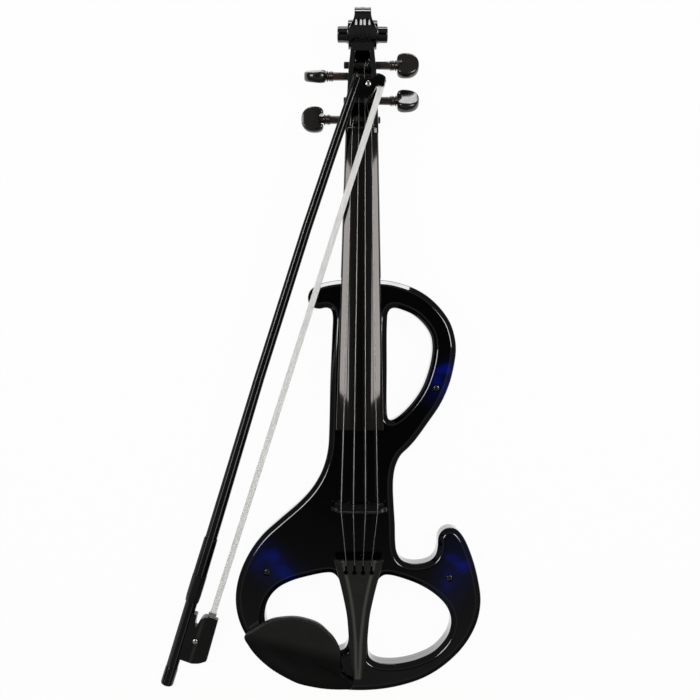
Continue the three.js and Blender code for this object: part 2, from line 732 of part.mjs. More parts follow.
function makeBackShell(form) {
  const high = partingHeight - gap / 2;
  const everywhere = bodyHalfWidth + overrun;
  const half = form.intersect(block([-everywhere, everywhere],
    [bodyBottomY - overrun, bodyTopY + overrun], [-overrun, high]));
  const hollow = half.subtract(bodyHollow(shellWall, partingHeight + overrun));
  const doorHalf = doorWidth / 2 + doorSideGap;
  const volumeFloor = volumeWellDepth + shellWall - gap;
  const switchFloor = switchWellDepth + shellWall - gap;
  const posts = joined(
    ...columns(bodyScrewPlaces, screwRadius, shellWall - joinDepth, high),
    ...columns(longScrewPlaces, screwHeadRadius, shellWall - joinDepth, high),
    ...columns(neckBoltPlaces, neckBoltHeadRadius, shellWall - joinDepth, high),
    jackSeat(),
    uprightBar(volumeX, boardPlateCentreY, shellWall - joinDepth, volumeFloor,
      volumeWellRadius + columnWall, fineSides),
    block([switchX - switchWellLength / 2 - bayWall, switchX + switchWellLength / 2 + bayWall],
      [boardPlateCentreY - switchWellWidth / 2 - bayWall,
        boardPlateCentreY + switchWellWidth / 2 + bayWall],
      [shellWall - joinDepth, switchFloor]),
    block([-bayHalfWidth - bayWall, bayHalfWidth + bayWall], [bayLowY - bayWall, bayHighY + bayWall],
      [shellWall - joinDepth, shellWall + bayWallHeight]),
    block([-doorHalf - bayWall, doorHalf + bayWall],
      [doorLowY - doorSideGap - bayWall, doorHighY + doorEndGap + bayWall],
      [shellWall - joinDepth, doorCeiling + bayWall]),
  ).intersect(half);
  const boardPosts = boardPostPlaces.map(({ x, y }) => uprightBar(x, y, shellWall - joinDepth,
    boardPlateHeight - gap, boardPostRadius, coarseSides));
  const past = partingHeight + overrun;
  return cutBy(joined(hollow, posts, ...boardPosts),
    ...bodyScrewPlaces.map(({ x, y }) => uprightBore(x, y, bodyScrewTipHeight - joinDepth, past,
      screwRadius + gap, coarseSides)),
    ...longScrewPlaces.map(({ x, y }) => uprightBore(x, y, -overrun, past, screwRadius + gap,
      coarseSides)),
    ...longScrewPlaces.map(({ x, y }) => uprightBore(x, y, -overrun,
      screwSink + screwHeadHeight + gap, screwHeadRadius + gap)),
    ...neckBoltPlaces.map(({ x, y }) => uprightBore(x, y, -overrun, past, neckBoltRadius + gap,
      coarseSides)),
    ...neckBoltPlaces.map(({ x, y }) => uprightBore(x, y, -overrun,
      neckBoltSink + neckBoltHeadHeight + gap, neckBoltHeadRadius + gap)),
    uprightBore(volumeX, boardPlateCentreY, -overrun, volumeWellDepth, volumeWellRadius, fineSides),
    uprightBore(volumeX, boardPlateCentreY, -overrun, past, volumeShaftRadius + runningGap),
    block([switchX - switchWellLength / 2, switchX + switchWellLength / 2],
      [boardPlateCentreY - switchWellWidth / 2, boardPlateCentreY + switchWellWidth / 2],
      [-overrun, switchWellDepth]),
    block([switchX - sliderStem / 2 - runningGap, switchX + sliderStem / 2 + switchTravel + runningGap],
      [boardPlateCentreY - sliderStem / 2 - runningGap, boardPlateCentreY + sliderStem / 2 + runningGap],
      [-overrun, past]),
    block([-bayHalfWidth, bayHalfWidth], [bayLowY, bayHighY], [-overrun, past]),
    block([-doorHalf, doorHalf], [doorLowY - doorSideGap, doorHighY + doorEndGap],
      [-overrun, doorCeiling]),
    crossBore(doorHinge.y, doorHinge.z, -doorHalf, doorHalf, doorHingeRadius + runningGap),
    ...jackCuts());
}

// Fingerboard, nut and neck

function boardTop(y) {
  return mixed(boardTopAtNut, boardTopAtEnd, (nutFrontY - gap - y) / boardLength);
}

function boardHalfWidth(y) {
  return mixed(boardNutWidth, boardEndWidth, (nutFrontY - gap - y) / boardLength) / 2;
}

const boardUnderNut = boardTopAtNut - archDrop(boardNutWidth / 2, boardArchRadius)
  - boardEdgeThickness;
const boardUnderEnd = boardTopAtEnd - archDrop(boardEndWidth / 2, boardArchRadius)
  - boardEdgeThickness;

function boardUnderside(y) {
  return mixed(boardUnderNut, boardUnderEnd, (nutFrontY - gap - y) / boardLength);
}

function boardSection(y) {
  const half = boardHalfWidth(y);
  const ring = [new THREE.Vector3(-half, y, boardUnderside(y)),
    new THREE.Vector3(half, y, boardUnderside(y))];
  const facets = 10;
  for (let i = 0; i <= facets; i += 1) {
    const across = half * (1 - 2 * i / facets);
    ring.push(new THREE.Vector3(across, y, boardTop(y) - archDrop(across, boardArchRadius)));
  }
  return ring;
}

function makeFingerboard() {
  return skinned([boardSection(boardEndY), boardSection(nutFrontY - gap)], flattenXZ);
}

function neckTop(y) {
  return boardUnderside(y) - gap;
}

function neckSection(y, half, bottom) {
  const top = neckTop(y);
  const ring = [];
  const facets = 9;
  for (let i = 0; i <= facets; i += 1) {
    const angle = Math.PI * i / facets;
    ring.push(new THREE.Vector3(-half * Math.cos(angle), y,
      top - joinDepth - (top - joinDepth - bottom) * Math.sin(angle)));
  }
  ring.push(new THREE.Vector3(half, y, top), new THREE.Vector3(-half, y, top));
  return ring;
}

function makeNeckShaft() {
  const start = bodyTopY + gap;
  const length = nutBackY + joinDepth - start;
  return skinned(heelShares.map(([along, drop]) => {
    const y = start + along * length;
    const bottom = neckTop(y) - neckThickness - drop * heelDrop;
    const half = mixed(neckHeelHalfWidth, nutWidth / 2, along);
    return neckSection(y, half, bottom);
  }), flattenXZ);
}

function makeTongue() {
  const low = bodyTopY - tongueLength;
  const high = bodyTopY + joinDepth;
  return plateAlongX([
    new THREE.Vector2(low, bodyThickness + gap),
    new THREE.Vector2(high, bodyThickness + gap),
    new THREE.Vector2(high, neckTop(high)),
    new THREE.Vector2(low, neckTop(low)),
  ], -tongueHalfWidth, tongueHalfWidth);
}

function pegboxLevels([along, width, top, bottom]) {
  return {
    y: nutBackY + along * pegboxLength,
    half: width * pegboxHalfWidth,
    top: top * pegboxTop,
    bottom: bottom * pegboxTop,
  };
}

const pegboxCornerShares = [[1, 1], [1, 0.45], [0.9, 0.16], [0.55, 0]];
const pegboxStartShares = [[1, 1], [0.96, 0.5], [0.7, 0.17], [0.25, 0.01]];

function pegboxSection({ y, half, top, bottom }, ring) {
  const corners = ring === 0 ? pegboxStartShares : pegboxCornerShares;
  const right = corners.map(([across, up]) => new THREE.Vector3(
    across * half, y, mixed(bottom, top, up)));
  const left = right.map((point) => new THREE.Vector3(-point.x, y, point.z)).reverse();
  return [...right, ...left];
}

function channelSection({ y, half, top, floor }) {
  const inner = half - pegboxWall;
  return [
    new THREE.Vector3(inner, y, top + overrun), new THREE.Vector3(inner, y, floor),
    new THREE.Vector3(-inner, y, floor), new THREE.Vector3(-inner, y, top + overrun),
  ];
}

function makeScroll() {
  const turn = smoothLoop(scrollShares.map(([along, up]) => new THREE.Vector2(
    scrollY + along * scrollRadius, scrollHeight + up * scrollRadius)), scrollSteps);
  return joined(
    plateAlongX(turn, -scrollTurnHalfWidth, scrollTurnHalfWidth),
    crossBar(scrollY, scrollHeight, -scrollShoulderHalfWidth, scrollShoulderHalfWidth,
      scrollShoulderRadius, fineSides),
    crossBar(scrollY, scrollHeight, -scrollEyeHalfWidth, scrollEyeHalfWidth, scrollEyeRadius));
}

function pegPlace(string) {
  return { y: nutBackY + string.along * pegboxLength, z: string.height * pegboxTop };
}

function makeNeck() {
  const levels = pegboxShares.map(pegboxLevels);
  const floors = levels.map((level) => ({ ...level, floor: level.bottom + pegboxFloor }));
  const lead = { ...floors[0], y: nutBackY + channelLead, floor: pegboxTop - channelLeadDrop };
  const first = { ...floors[0], y: nutBackY + channelInset };
  const last = { ...floors.at(-1), y: nutBackY + pegboxLength - 2 * channelInset };
  const channel = skinned([lead, first, ...floors.slice(1, -2), last].map(channelSection), flattenXZ);
  const across = pegboxHalfWidth + overrun;
  return cutBy(
    joined(makeNeckShaft(), makeTongue(), skinned(levels.map(pegboxSection), flattenXZ), makeScroll()),
    channel,
    ...strings.map((string) => crossBore(pegPlace(string).y, pegPlace(string).z, -across, across,
      pegShaftRadius + runningGap)),
    ...neckBoltPlaces.map(({ x, y }) => uprightBore(x, y, bodyThickness - overrun,
      neckBoltTipHeight + gap, neckBoltRadius + gap, coarseSides)));
}

// String routes

function routeHeight(base, across) {
  return base - archDrop(across, stringArchRadius);
}

function windingRadius() {
  return pegShaftRadius + windingGap + stringRadius;
}

function stringRoute(string) {
  const { y, z } = pegPlace(string);
  const nutX = string.order * nutStringSpacing;
  const bridgeX = string.order * bridgeStringSpacing;
  const tailX = string.order * tailStringSpacing;
  const nutZ = routeHeight(nutStringHeight, nutX);
  const aboveCoil = z + windingRadius() + 2 * stringRadius + gap;
  const ridgeZ = tailTopHeight + tailRidgeRise + stringRadius + gap;
  const slotY = tailTopY - tailRidgeLength - keyslotHalfWidth - stringRadius;
  return [
    new THREE.Vector3(string.coilStart * pegboxHalfWidth, y, aboveCoil),
    new THREE.Vector3(nutX, nutBackY, nutZ),
    new THREE.Vector3(nutX, nutFrontY, nutZ),
    new THREE.Vector3(bridgeX, 0, routeHeight(bridgeStringHeight, bridgeX)),
    new THREE.Vector3(tailX, tailTopY, ridgeZ),
    new THREE.Vector3(tailX, slotY + stringRadius, ridgeZ),
    new THREE.Vector3(tailX, slotY - stringRadius, ridgeZ - 2 * stringRadius),
    new THREE.Vector3(tailX, slotY - stringRadius, tailTopHeight - tailPlate - gap),
  ];
}

function makeNut() {
  const half = nutWidth / 2;
  const outline = [new THREE.Vector2(-half, boardUnderside(nutFrontY)),
    new THREE.Vector2(half, boardUnderside(nutFrontY))];
  const facets = 8;
  for (let i = 0; i <= facets; i += 1) {
    const across = half * (1 - 2 * i / facets);
    outline.push(new THREE.Vector2(across, routeHeight(nutStringHeight, across)));
  }
  return cutBy(plateAlongY(outline, nutFrontY, nutBackY - gap),
    ...strings.map((string) => tube(stringRoute(string).slice(0, 4), stringRadius + gap)));
}

function makeBridge() {
  const foot = bodyThickness + gap;
  const height = bridgeStringHeight - foot;
  const right = bridgeShares.map(([across, up]) => new THREE.Vector2(
    across * bridgeHalfWidth, foot + up * height));
  const left = right.slice(1, -1).map((point) => new THREE.Vector2(-point.x, point.y)).reverse();
  const front = bridgeFootThickness / 2;
  const back = -front;
  const far = front + overrun;
  const across = bridgeHalfWidth + overrun;
  return cutBy(plateAlongY([...right, ...left], back, front),
    plateAlongX([
      new THREE.Vector2(front, foot + height / 4),
      new THREE.Vector2(back + bridgeTopThickness, foot + height + joinDepth),
      new THREE.Vector2(far, foot + height + joinDepth),
      new THREE.Vector2(far, foot + height / 4),
    ], -across, across),
    bar(new THREE.Vector3(0, -far, foot + height * 0.6), new THREE.Vector3(0, far, foot + height * 0.6),
      bridgeHeartRadius),
    ...strings.map((string) => tube(stringRoute(string).slice(2, 5), stringRadius + gap)));
}

function makePickup() {
  const high = bodyThickness - shellWall - gap;
  return uprightBar(0, 0, high - pickupThickness, high, pickupRadius, fineSides);
}

// Tailpiece

function tailTop(y) {
  return mixed(tailTopHeight, tailEndHeight, (tailTopY - y) / tailLength);
}

function tailSection([along, width]) {
  const y = tailTopY - along * tailLength;
  const half = width * tailHalfWidth;
  const top = tailTop(y);
  const flat = half * tailFlatShare;
  const inner = mixed(flat, half, tailHollowShare);
  const under = tailPlate + tailBevelDrop * tailHollowShare / 2;
  return [
    [-half, -tailBevelDrop], [-flat, 0], [flat, 0], [half, -tailBevelDrop], [half, -tailSkirt],
    [inner, -tailSkirt], [inner, -under], [flat, -tailPlate], [-flat, -tailPlate],
    [-inner, -under], [-inner, -tailSkirt], [-half, -tailSkirt],
  ].map(([x, down]) => new THREE.Vector3(x, y, top + down));
}

function keyholeCut(string) {
  const x = string.order * tailStringSpacing;
  const hole = tailTopY - keyholeInset;
  const slot = tailTopY - tailRidgeLength - keyslotHalfWidth;
  const low = tailTopHeight - tailSkirt - overrun;
  const high = tailTopHeight + overrun;
  return joined(
    uprightBar(x, hole, low, high, keyholeRadius),
    block([x - keyslotHalfWidth, x + keyslotHalfWidth], [hole, slot], [low, high]));
}

function makeTailpiece() {
  const shell = skinned(tailShares.map(tailSection), flattenXZ);
  const ridge = block([-tailHalfWidth * 0.84, tailHalfWidth * 0.84],
    [tailTopY - tailRidgeLength, tailTopY], [tailTopHeight - joinDepth, tailTopHeight + tailRidgeRise]);
  const foot = block([-tailFootHalfWidth, tailFootHalfWidth],
    [tailScrewPlace.y - tailFootLength / 2, tailScrewPlace.y + tailFootLength / 2],
    [bodyThickness + gap, tailEndHeight]);
  return cutBy(joined(shell, ridge, foot),
    ...strings.map(keyholeCut),
    uprightBore(tailScrewPlace.x, tailScrewPlace.y, bodyThickness - overrun,
      longScrewTipHeight + gap, screwRadius + gap, coarseSides));
}

function makeBallEnd(string) {
  const route = stringRoute(string);
  const end = route.at(-1);
  const z = tailTopHeight - tailPlate - 3 * gap - ballRadius - stringRadius;
  return crossBar(end.y, z, end.x - ballLength / 2, end.x + ballLength / 2, ballRadius, coarseSides);
}

// Chin rest

function makeChinRest() {
  const loop = smoothLoop(chinRestShares.map(bodyPoint), chinRestSteps);
  const lowY = Math.min(...loop.map((point) => point.y));
  const highY = Math.max(...loop.map((point) => point.y));
  const centre = bodyPoint(chinDishShare);
  const ring = (inset, level) => drawnIn(loop, centre, inset).map((point) => new THREE.Vector3(
    point.x, point.y, level((point.y - lowY) / (highY - lowY))));
  const rim = (up) => mixed(chinRestLow, chinRestHigh, up);
  const shell = skinned([
    ring(chinRestUndercut, () => chinRestFloor),
    ring(chinRestEdge / 4, (up) => mixed(chinRestFloor, rim(up), 0.35)),
    ring(0, (up) => rim(up) - chinRestEdge),
    ring(chinRestEdge / 4, (up) => rim(up) - chinRestEdge / 4),
    ring(chinRestEdge, rim),
  ], flattenXY);
  const dish = new THREE.SphereGeometry(1, plainSides, coarseSides);
  dish.rotateX(Math.PI / 2);
  dish.scale(chinDishHalfLength, chinDishHalfWidth, chinDishDepth);
  dish.rotateZ(-Math.PI / 9);
  dish.translate(centre.x, centre.y, mixed(chinRestLow, chinRestHigh, 0.5) + gap);
  const feet = chinScrewPlaces.map(({ x, y }) => uprightBar(x, y, bodyThickness + gap,
    chinRestFloor + joinDepth, chinFootRadius));
  return cutBy(joined(shell, ...feet), toSolid(dish),
    ...chinScrewPlaces.map(({ x, y }) => uprightBore(x, y, bodyThickness - overrun,
      longScrewTipHeight + gap - joinDepth, screwRadius + gap, coarseSides)));
}

// Screws: the head's outer face is at the first point, and the shank runs to the second

function makeScrew(from, to, headRadius, headHeight, radius) {
  const way = to.clone().sub(from);
  const length = way.length();
  way.normalize();
  const solid = turned([[0, 0], [headRadius * 0.8, 0], [headRadius, headHeight / 3],
    [headRadius, headHeight], [radius, headHeight], [radius, length - radius],
    [0, length]], way, from, screwSides);
  const arm = headRadius * 0.7;
  const cross = joined(
    block([-arm, arm], [-screwCrossWidth / 2, screwCrossWidth / 2], [-overrun, screwCrossDepth]),
    block([-screwCrossWidth / 2, screwCrossWidth / 2], [-arm, arm], [-overrun, screwCrossDepth]));
  const placed = toGeometry(cross);
  placed.applyQuaternion(new THREE.Quaternion().setFromUnitVectors(new THREE.Vector3(0, 0, 1), way));
  placed.translate(from.x, from.y, from.z);
  return solid.subtract(toSolid(placed));
}

function makeBodyScrew({ x, y }) {
  return makeScrew(new THREE.Vector3(x, y, bodyThickness - screwSink),
    new THREE.Vector3(x, y, bodyScrewTipHeight), screwHeadRadius, screwHeadHeight, screwRadius);
}

function makeLongScrew({ x, y }, tip) {
  return makeScrew(new THREE.Vector3(x, y, screwSink), new THREE.Vector3(x, y, tip),
    screwHeadRadius, screwHeadHeight, screwRadius);
}

function makeNeckBolt({ x, y }) {
  return makeScrew(new THREE.Vector3(x, y, neckBoltSink), new THREE.Vector3(x, y, neckBoltTipHeight),
    neckBoltHeadRadius, neckBoltHeadHeight, neckBoltRadius);
}

// Pegs and windings

function makePeg(string) {
  const head = string.head * pegboxHalfWidth;
  const collar = head - pegCollarLength;
  const tip = -pegboxHalfWidth - pegTipLength;
  const step = pegCollarLength / 6;
  const shaft = turned([[0, tip], [pegTipRadius, tip], [pegShaftRadius, collar],
    [pegCollarRadius, collar + step], [pegCollarRadius, collar + 2 * step],
    [pegCollarWaist, collar + 3 * step], [pegCollarRadius, collar + 4 * step],
    [pegCollarRadius, collar + 5 * step], [pegTipRadius, head + step],
    [pegTipRadius, head + pegHeadLength / 2], [0, head + pegHeadLength / 2]],
  new THREE.Vector3(1, 0, 0), new THREE.Vector3(), coarseSides);
  const disc = new THREE.SphereGeometry(1, plainSides, stringSides);
  disc.rotateX(Math.PI / 2);
  disc.scale(pegHeadLength / 2, pegHeadHalfHeight, pegHeadHalfThickness);
  disc.translate(head + pegHeadLength / 2, 0, 0);
  const bite = bar(new THREE.Vector3(head, 0, -pegHeadHalfHeight),
    new THREE.Vector3(head, 0, pegHeadHalfHeight), pegBiteRadius);
  return joined(toSolid(disc).subtract(bite), shaft);
}

function windingPoints(string) {
  const { y, z } = pegPlace(string);
  const radius = windingRadius();
  const points = [];
  for (let step = 0; step <= windingLoops * windingSteps; step += 1) {
    const angle = 2 * Math.PI * step / windingSteps;
    points.push(new THREE.Vector3(
      string.coilStart * pegboxHalfWidth + string.coilWay * windingPitch * step / windingSteps,
      y + radius * Math.sin(angle), z + radius * Math.cos(angle)));
  }
  return points;
}

// The least gap between turns, measured between points more than half a turn apart
function leastWindingGap(points) {
  let least = Infinity;
  points.forEach((point, i) => {
    points.slice(i + windingSteps / 2).forEach((other) => {
      least = Math.min(least, point.distanceTo(other) - 2 * stringRadius);
    });
  });
  return least;
}

// Battery, door, board and controls

function makeBattery() {
  const low = doorSink + doorThickness + 2 * gap;
  const y0 = batteryCentreY - batteryLength / 2;
  const y1 = batteryCentreY + batteryLength / 2;
  const half = batteryWidth / 2;
  return block([-half, half], [y0, y1], [low, low + batteryThickness]);
}

function makeSnap() {
  const middle = doorSink + doorThickness + 2 * gap + batteryThickness / 2;
  const high = batteryCentreY - batteryLength / 2 - gap;
  return block([-snapWidth / 2, snapWidth / 2], [high - snapLength + 2 * gap, high],
    [middle - snapHeight / 2, middle + snapHeight / 2]);
}

function makeDoor() {
  const half = doorWidth / 2;
  const panel = block([-half, half], [doorLowY, doorHinge.y], [doorSink, doorSink + doorThickness]);
  const knuckle = crossBar(doorHinge.y, doorHinge.z, -half, half, doorHingeRadius, coarseSides);
  return panel.add(knuckle);
}

function makeBoard() {
  const halfX = boardPlateLength / 2;
  const halfY = boardPlateWidth / 2;
  const top = boardPlateHeight + boardPlateThickness;
  const chips = [-1, 1].map((side) => block(
    [boardPlateCentreX + side * halfX / 2 - chipLength / 2,
      boardPlateCentreX + side * halfX / 2 + chipLength / 2],
    [boardPlateCentreY - chipWidth / 2, boardPlateCentreY + chipWidth / 2],
    [top - joinDepth, top + chipHeight]));
  return joined(block([boardPlateCentreX - halfX, boardPlateCentreX + halfX],
    [boardPlateCentreY - halfY, boardPlateCentreY + halfY], [boardPlateHeight, top]), ...chips);
}

const volumePotFloor = volumeWellDepth + shellWall;

function makeVolumePot() {
  return uprightBar(volumeX, boardPlateCentreY, volumePotFloor, boardPlateHeight - gap,
    volumePotRadius).subtract(uprightBore(volumeX, boardPlateCentreY, volumePotFloor - overrun,
    boardPlateHeight - 2 * overrun, volumeShaftRadius + runningGap));
}

function makeVolumeShaft() {
  return uprightBar(volumeX, boardPlateCentreY, volumeKnobSink + volumeKnobHeight / 2,
    boardPlateHeight - 2 * overrun - gap, volumeShaftRadius, coarseSides);
}

function makeVolumeKnob() {
  const low = volumeKnobSink;
  const high = low + volumeKnobHeight;
  const ridges = [];
  const ridgeCount = 8;
  for (let i = 0; i < ridgeCount; i += 1) {
    const angle = 2 * Math.PI * i / ridgeCount;
    ridges.push(uprightBar(volumeX + volumeKnobRadius * Math.cos(angle),
      boardPlateCentreY + volumeKnobRadius * Math.sin(angle), low - overrun, high + overrun,
      volumeKnobRadius / ridgeCount, stringSides));
  }
  return cutBy(uprightBar(volumeX, boardPlateCentreY, low, high, volumeKnobRadius, fineSides),
    uprightBore(volumeX, boardPlateCentreY, low + volumeKnobHeight / 2 - gap, high + overrun,
      volumeShaftRadius + gap, coarseSides),
    ...ridges);
}

const switchCaseFloor = switchWellDepth + shellWall;

function makeSwitchCase() {
  const halfX = switchCaseLength / 2;
  const halfY = switchCaseWidth / 2;
  return cutBy(block([switchX - halfX, switchX + halfX],
    [boardPlateCentreY - halfY, boardPlateCentreY + halfY],
    [switchCaseFloor, boardPlateHeight - gap]),
  block([switchX - sliderStem / 2 - runningGap, switchX + sliderStem / 2 + switchTravel + runningGap],
    [boardPlateCentreY - sliderStem / 2 - runningGap, boardPlateCentreY + sliderStem / 2 + runningGap],
    [switchCaseFloor - overrun, switchCaseFloor + 2 * overrun]));
}

function makeSlider() {
  const high = switchWellDepth - gap;
  return joined(
    block([switchX - sliderLength / 2, switchX + sliderLength / 2],
      [boardPlateCentreY - sliderWidth / 2, boardPlateCentreY + sliderWidth / 2],
      [high - sliderHeight, high]),
    block([switchX - sliderStem / 2, switchX + sliderStem / 2],
      [boardPlateCentreY - sliderStem / 2, boardPlateCentreY + sliderStem / 2],
      [high - joinDepth, switchCaseFloor + overrun]));
}

// Line out jack

const jackPlateInside = jackWallX + jackWellDepth + jackPlateThickness;

function makeJack() {
  const caseStart = jackPlateInside + gap;
  const mouth = jackWallX + jackWellDepth / 4;
  return cutBy(joined(
    crossBar(jackY, partingHeight, mouth, caseStart + joinDepth, jackBarrelRadius),
    block([caseStart, caseStart + jackCaseLength], [jackY - jackCaseWidth / 2, jackY + jackCaseWidth / 2],
      [partingHeight - jackCaseHeight / 2, partingHeight + jackCaseHeight / 2])),
  crossBar(jackY, partingHeight, mouth - overrun, caseStart + jackCaseLength - overrun, jackBore,
    coarseSides));
}

function makeJackNut() {
  const start = jackWallX + jackWellDepth - gap;
  return crossBar(jackY, partingHeight, start - jackNutThickness, start,
    jackNutAcross / Math.sqrt(3), stringSides).subtract(
    crossBore(jackY, partingHeight, start - jackNutThickness - overrun, start + overrun,
      jackBarrelRadius + gap));
}

// Leads inside the body, each through points chosen by hand

function leadThrough(points) {
  const curve = new THREE.CatmullRomCurve3(points, false, 'centripetal');
  return tube(curve.getPoints(4 * (points.length - 1)), leadRadius);
}

function makeBatteryLead() {
  const middle = doorSink + doorThickness + batteryThickness / 2;
  const start = batteryCentreY - batteryLength / 2 - snapLength;
  const end = boardPlateCentreY + boardPlateWidth / 2;
  const level = boardPlateHeight + boardPlateThickness / 2;
  return leadThrough([
    new THREE.Vector3(0, start, middle), new THREE.Vector3(0, mixed(start, end, 0.15), middle),
    new THREE.Vector3(-batteryWidth / 2, mixed(start, end, 0.5), partingHeight),
    new THREE.Vector3(-batteryWidth, mixed(start, end, 0.85), level),
    new THREE.Vector3(boardPlateCentreX - boardPlateLength / 4, end + leadRadius, level),
  ]);
}

function makePickupLead() {
  const level = boardPlateHeight + boardPlateThickness / 2;
  const end = boardPlateCentreY + boardPlateWidth / 2;
  const high = bodyThickness - shellWall - 2 * gap - pickupThickness - leadRadius;
  return leadThrough([
    new THREE.Vector3(0, 0, high), new THREE.Vector3(pickupRadius, 0, high - gap),
    new THREE.Vector3(pickupRadius, mixed(0, end, 0.6), level),
    new THREE.Vector3(pickupRadius, end + leadRadius, level),
  ]);
}

function makeJackLead() {
  const start = jackPlateInside + gap + jackCaseLength;
  const level = boardPlateHeight + boardPlateThickness / 2;
  const end = boardPlateCentreX - boardPlateLength / 2;
  const limb = -leadLimbShare * bodyHalfWidth;
  return leadThrough([
    new THREE.Vector3(start + joinDepth, jackY, partingHeight),
    new THREE.Vector3(limb, jackY + jackCaseWidth, partingHeight),
    new THREE.Vector3(limb, mixed(jackY, boardPlateCentreY, 0.62), partingHeight),
    new THREE.Vector3(mixed(start, end, 0.6), mixed(jackY, boardPlateCentreY, 0.86), level),
    new THREE.Vector3(end - leadRadius, boardPlateCentreY, level),
  ]);
}

// Bow

function stickCentre(along) {
  const place = (along - bowStickStart) / (bowStickEnd - bowStickStart);
  const after = Math.max(1, bowStickShares.findIndex(([share]) => share >= place));
  const [low, high] = [bowStickShares[after - 1], bowStickShares[after]];
  const share = (place - low[0]) / (high[0] - low[0]);
  return {
    radius: mixed(bowButtRadius, bowTipRadius, mixed(low[1], high[1], share)),
    across: bowCamber * mixed(low[2], high[2], share),
  };
}

// An eight sided section with a flat face up
function stickSection(along, extra = 0) {
  const { radius, across } = stickCentre(along);
  const corner = (radius + extra) / Math.cos(Math.PI / 8);
  const ring = [];
  for (let i = 0; i < 8; i += 1) {
    const angle = Math.PI * (2 * i + 1) / 8;
    ring.push(new THREE.Vector3(across + corner * Math.cos(angle), along, corner * Math.sin(angle)));
  }
  return ring;
}

function stickBetween(from, to, extra = 0) {
  const between = bowStickShares.map(([share]) => mixed(bowStickStart, bowStickEnd, share))
    .filter((along) => along > from + joinDepth && along < to - joinDepth);
  return skinned([from, ...between, to].map((along) => stickSection(along, extra)), flattenXZ);
}

const hairHalf = bowHairWidth / 2;

// The butt stands off the body's side, and the stick crosses the centre line past the nut
const bowButtX = -(bodyHalfWidth + bowSideReach);
const bowTurn = Math.atan2(-bowButtX, nutBackY + bowCrossing - bowButtY);

// How steeply the bow rises, so that its hair lies just over the bass string
function bowTilt() {
  const [nut, bridge] = stringRoute(strings[0]).slice(2, 4);
  const along = new THREE.Vector2(Math.sin(bowTurn), Math.cos(bowTurn));
  const across = new THREE.Vector2(along.y, -along.x);
  const start = new THREE.Vector2(bowButtX, bowButtY)
    .addScaledVector(across, bowHairHeadOffset + hairHalf);
  const stringWay = new THREE.Vector2(nut.x - bridge.x, nut.y - bridge.y);
  const reach = new THREE.Vector2(bridge.x, bridge.y).sub(start).cross(stringWay)
    / along.cross(stringWay);
  const share = (start.y + along.y * reach - bridge.y) / stringWay.y;
  const rise = mixed(bridge.z, nut.z, share) + stringRadius + bowRestGap + bowHairThickness / 2
    - bowButtHeight;
  return Math.asin(rise / reach);
}

const bowHeadStart = bowStickEnd - bowHeadLength * 0.64;
const frogLength = bowFrogEnd - bowFrogStart;
const eyeletMiddle = frogScrewAlong;

function makeBowStick() {
  const head = plate(bowHeadShares.map(([along, across]) => new THREE.Vector2(
    across * bowHeadReach, bowHeadStart + along * bowHeadLength)),
  -bowHeadHalfThickness, bowHeadHalfThickness);
  const boreEnd = bowStickStart + bowScrewLength;
  return cutBy(stickBetween(bowStickStart, bowStickEnd).add(head),
    block([bowHairHeadOffset - hairHalf - gap, bowHairHeadOffset + hairHalf + gap],
      [bowHeadStart - overrun, bowHairEnd + gap], [-bowHairThickness / 2 - gap, bowHairThickness / 2 + gap]),
    bore(new THREE.Vector3(0, bowStickStart - overrun, 0), new THREE.Vector3(0, boreEnd, 0),
      bowScrewRadius + runningGap, coarseSides),
    block([0, bowButtRadius + overrun],
      [eyeletMiddle - eyeletLength / 2 - frogTravel - runningGap, eyeletMiddle + eyeletLength / 2 + runningGap],
      [-eyeletHalfWidth - runningGap, eyeletHalfWidth + runningGap]),
    block([-eyeletHalfWidth - runningGap, bowButtRadius],
      [eyeletMiddle - eyeletLength / 2 - frogTravel - runningGap, eyeletMiddle + eyeletLength / 2 + runningGap],
      [-eyeletHalfWidth - runningGap, eyeletHalfWidth + runningGap]),
    bore(new THREE.Vector3(headScrewAcross, bowStickEnd - headScrewInset, 0),
      new THREE.Vector3(headScrewAcross, bowStickEnd - headScrewInset, bowHeadHalfThickness + overrun),
      screwRadius + gap, coarseSides));
}

function makeFrog() {
  const outline = bowFrogShares.map(([along, across]) => new THREE.Vector2(
    across * bowFrogReach, bowFrogStart + along * frogLength));
  const hairIn = bowFrogEnd - 4 * ferruleLength;
  return cutBy(plate(outline, -bowFrogHalfThickness, bowFrogHalfThickness),
    stickBetween(bowStickStart, bowFrogEnd + frogTravel, runningGap),
    block([bowButtRadius - joinDepth, bowButtRadius + eyeletLength],
      [eyeletMiddle - eyeletHalfWidth - gap, eyeletMiddle + eyeletHalfWidth + gap],
      [-eyeletHalfWidth - gap, eyeletHalfWidth + gap]),
    block([bowHairOffset - hairHalf - gap, bowHairOffset + hairHalf + gap],
      [hairIn - gap, bowFrogEnd + overrun], [-bowHairThickness / 2 - gap, bowHairThickness / 2 + gap]),
    bore(new THREE.Vector3(frogScrewAcross, frogScrewAlong, 0),
      new THREE.Vector3(frogScrewAcross, frogScrewAlong, bowFrogHalfThickness + overrun),
      screwRadius + gap, coarseSides));
}

function makeEyelet() {
  return cutBy(block([-eyeletHalfWidth, bowButtRadius + eyeletLength - gap],
    [eyeletMiddle - eyeletHalfWidth, eyeletMiddle + eyeletHalfWidth],
    [-eyeletHalfWidth, eyeletHalfWidth]),
  bore(new THREE.Vector3(0, eyeletMiddle - eyeletLength, 0),
    new THREE.Vector3(0, eyeletMiddle + eyeletLength, 0), bowScrewRadius + gap, coarseSides));
}

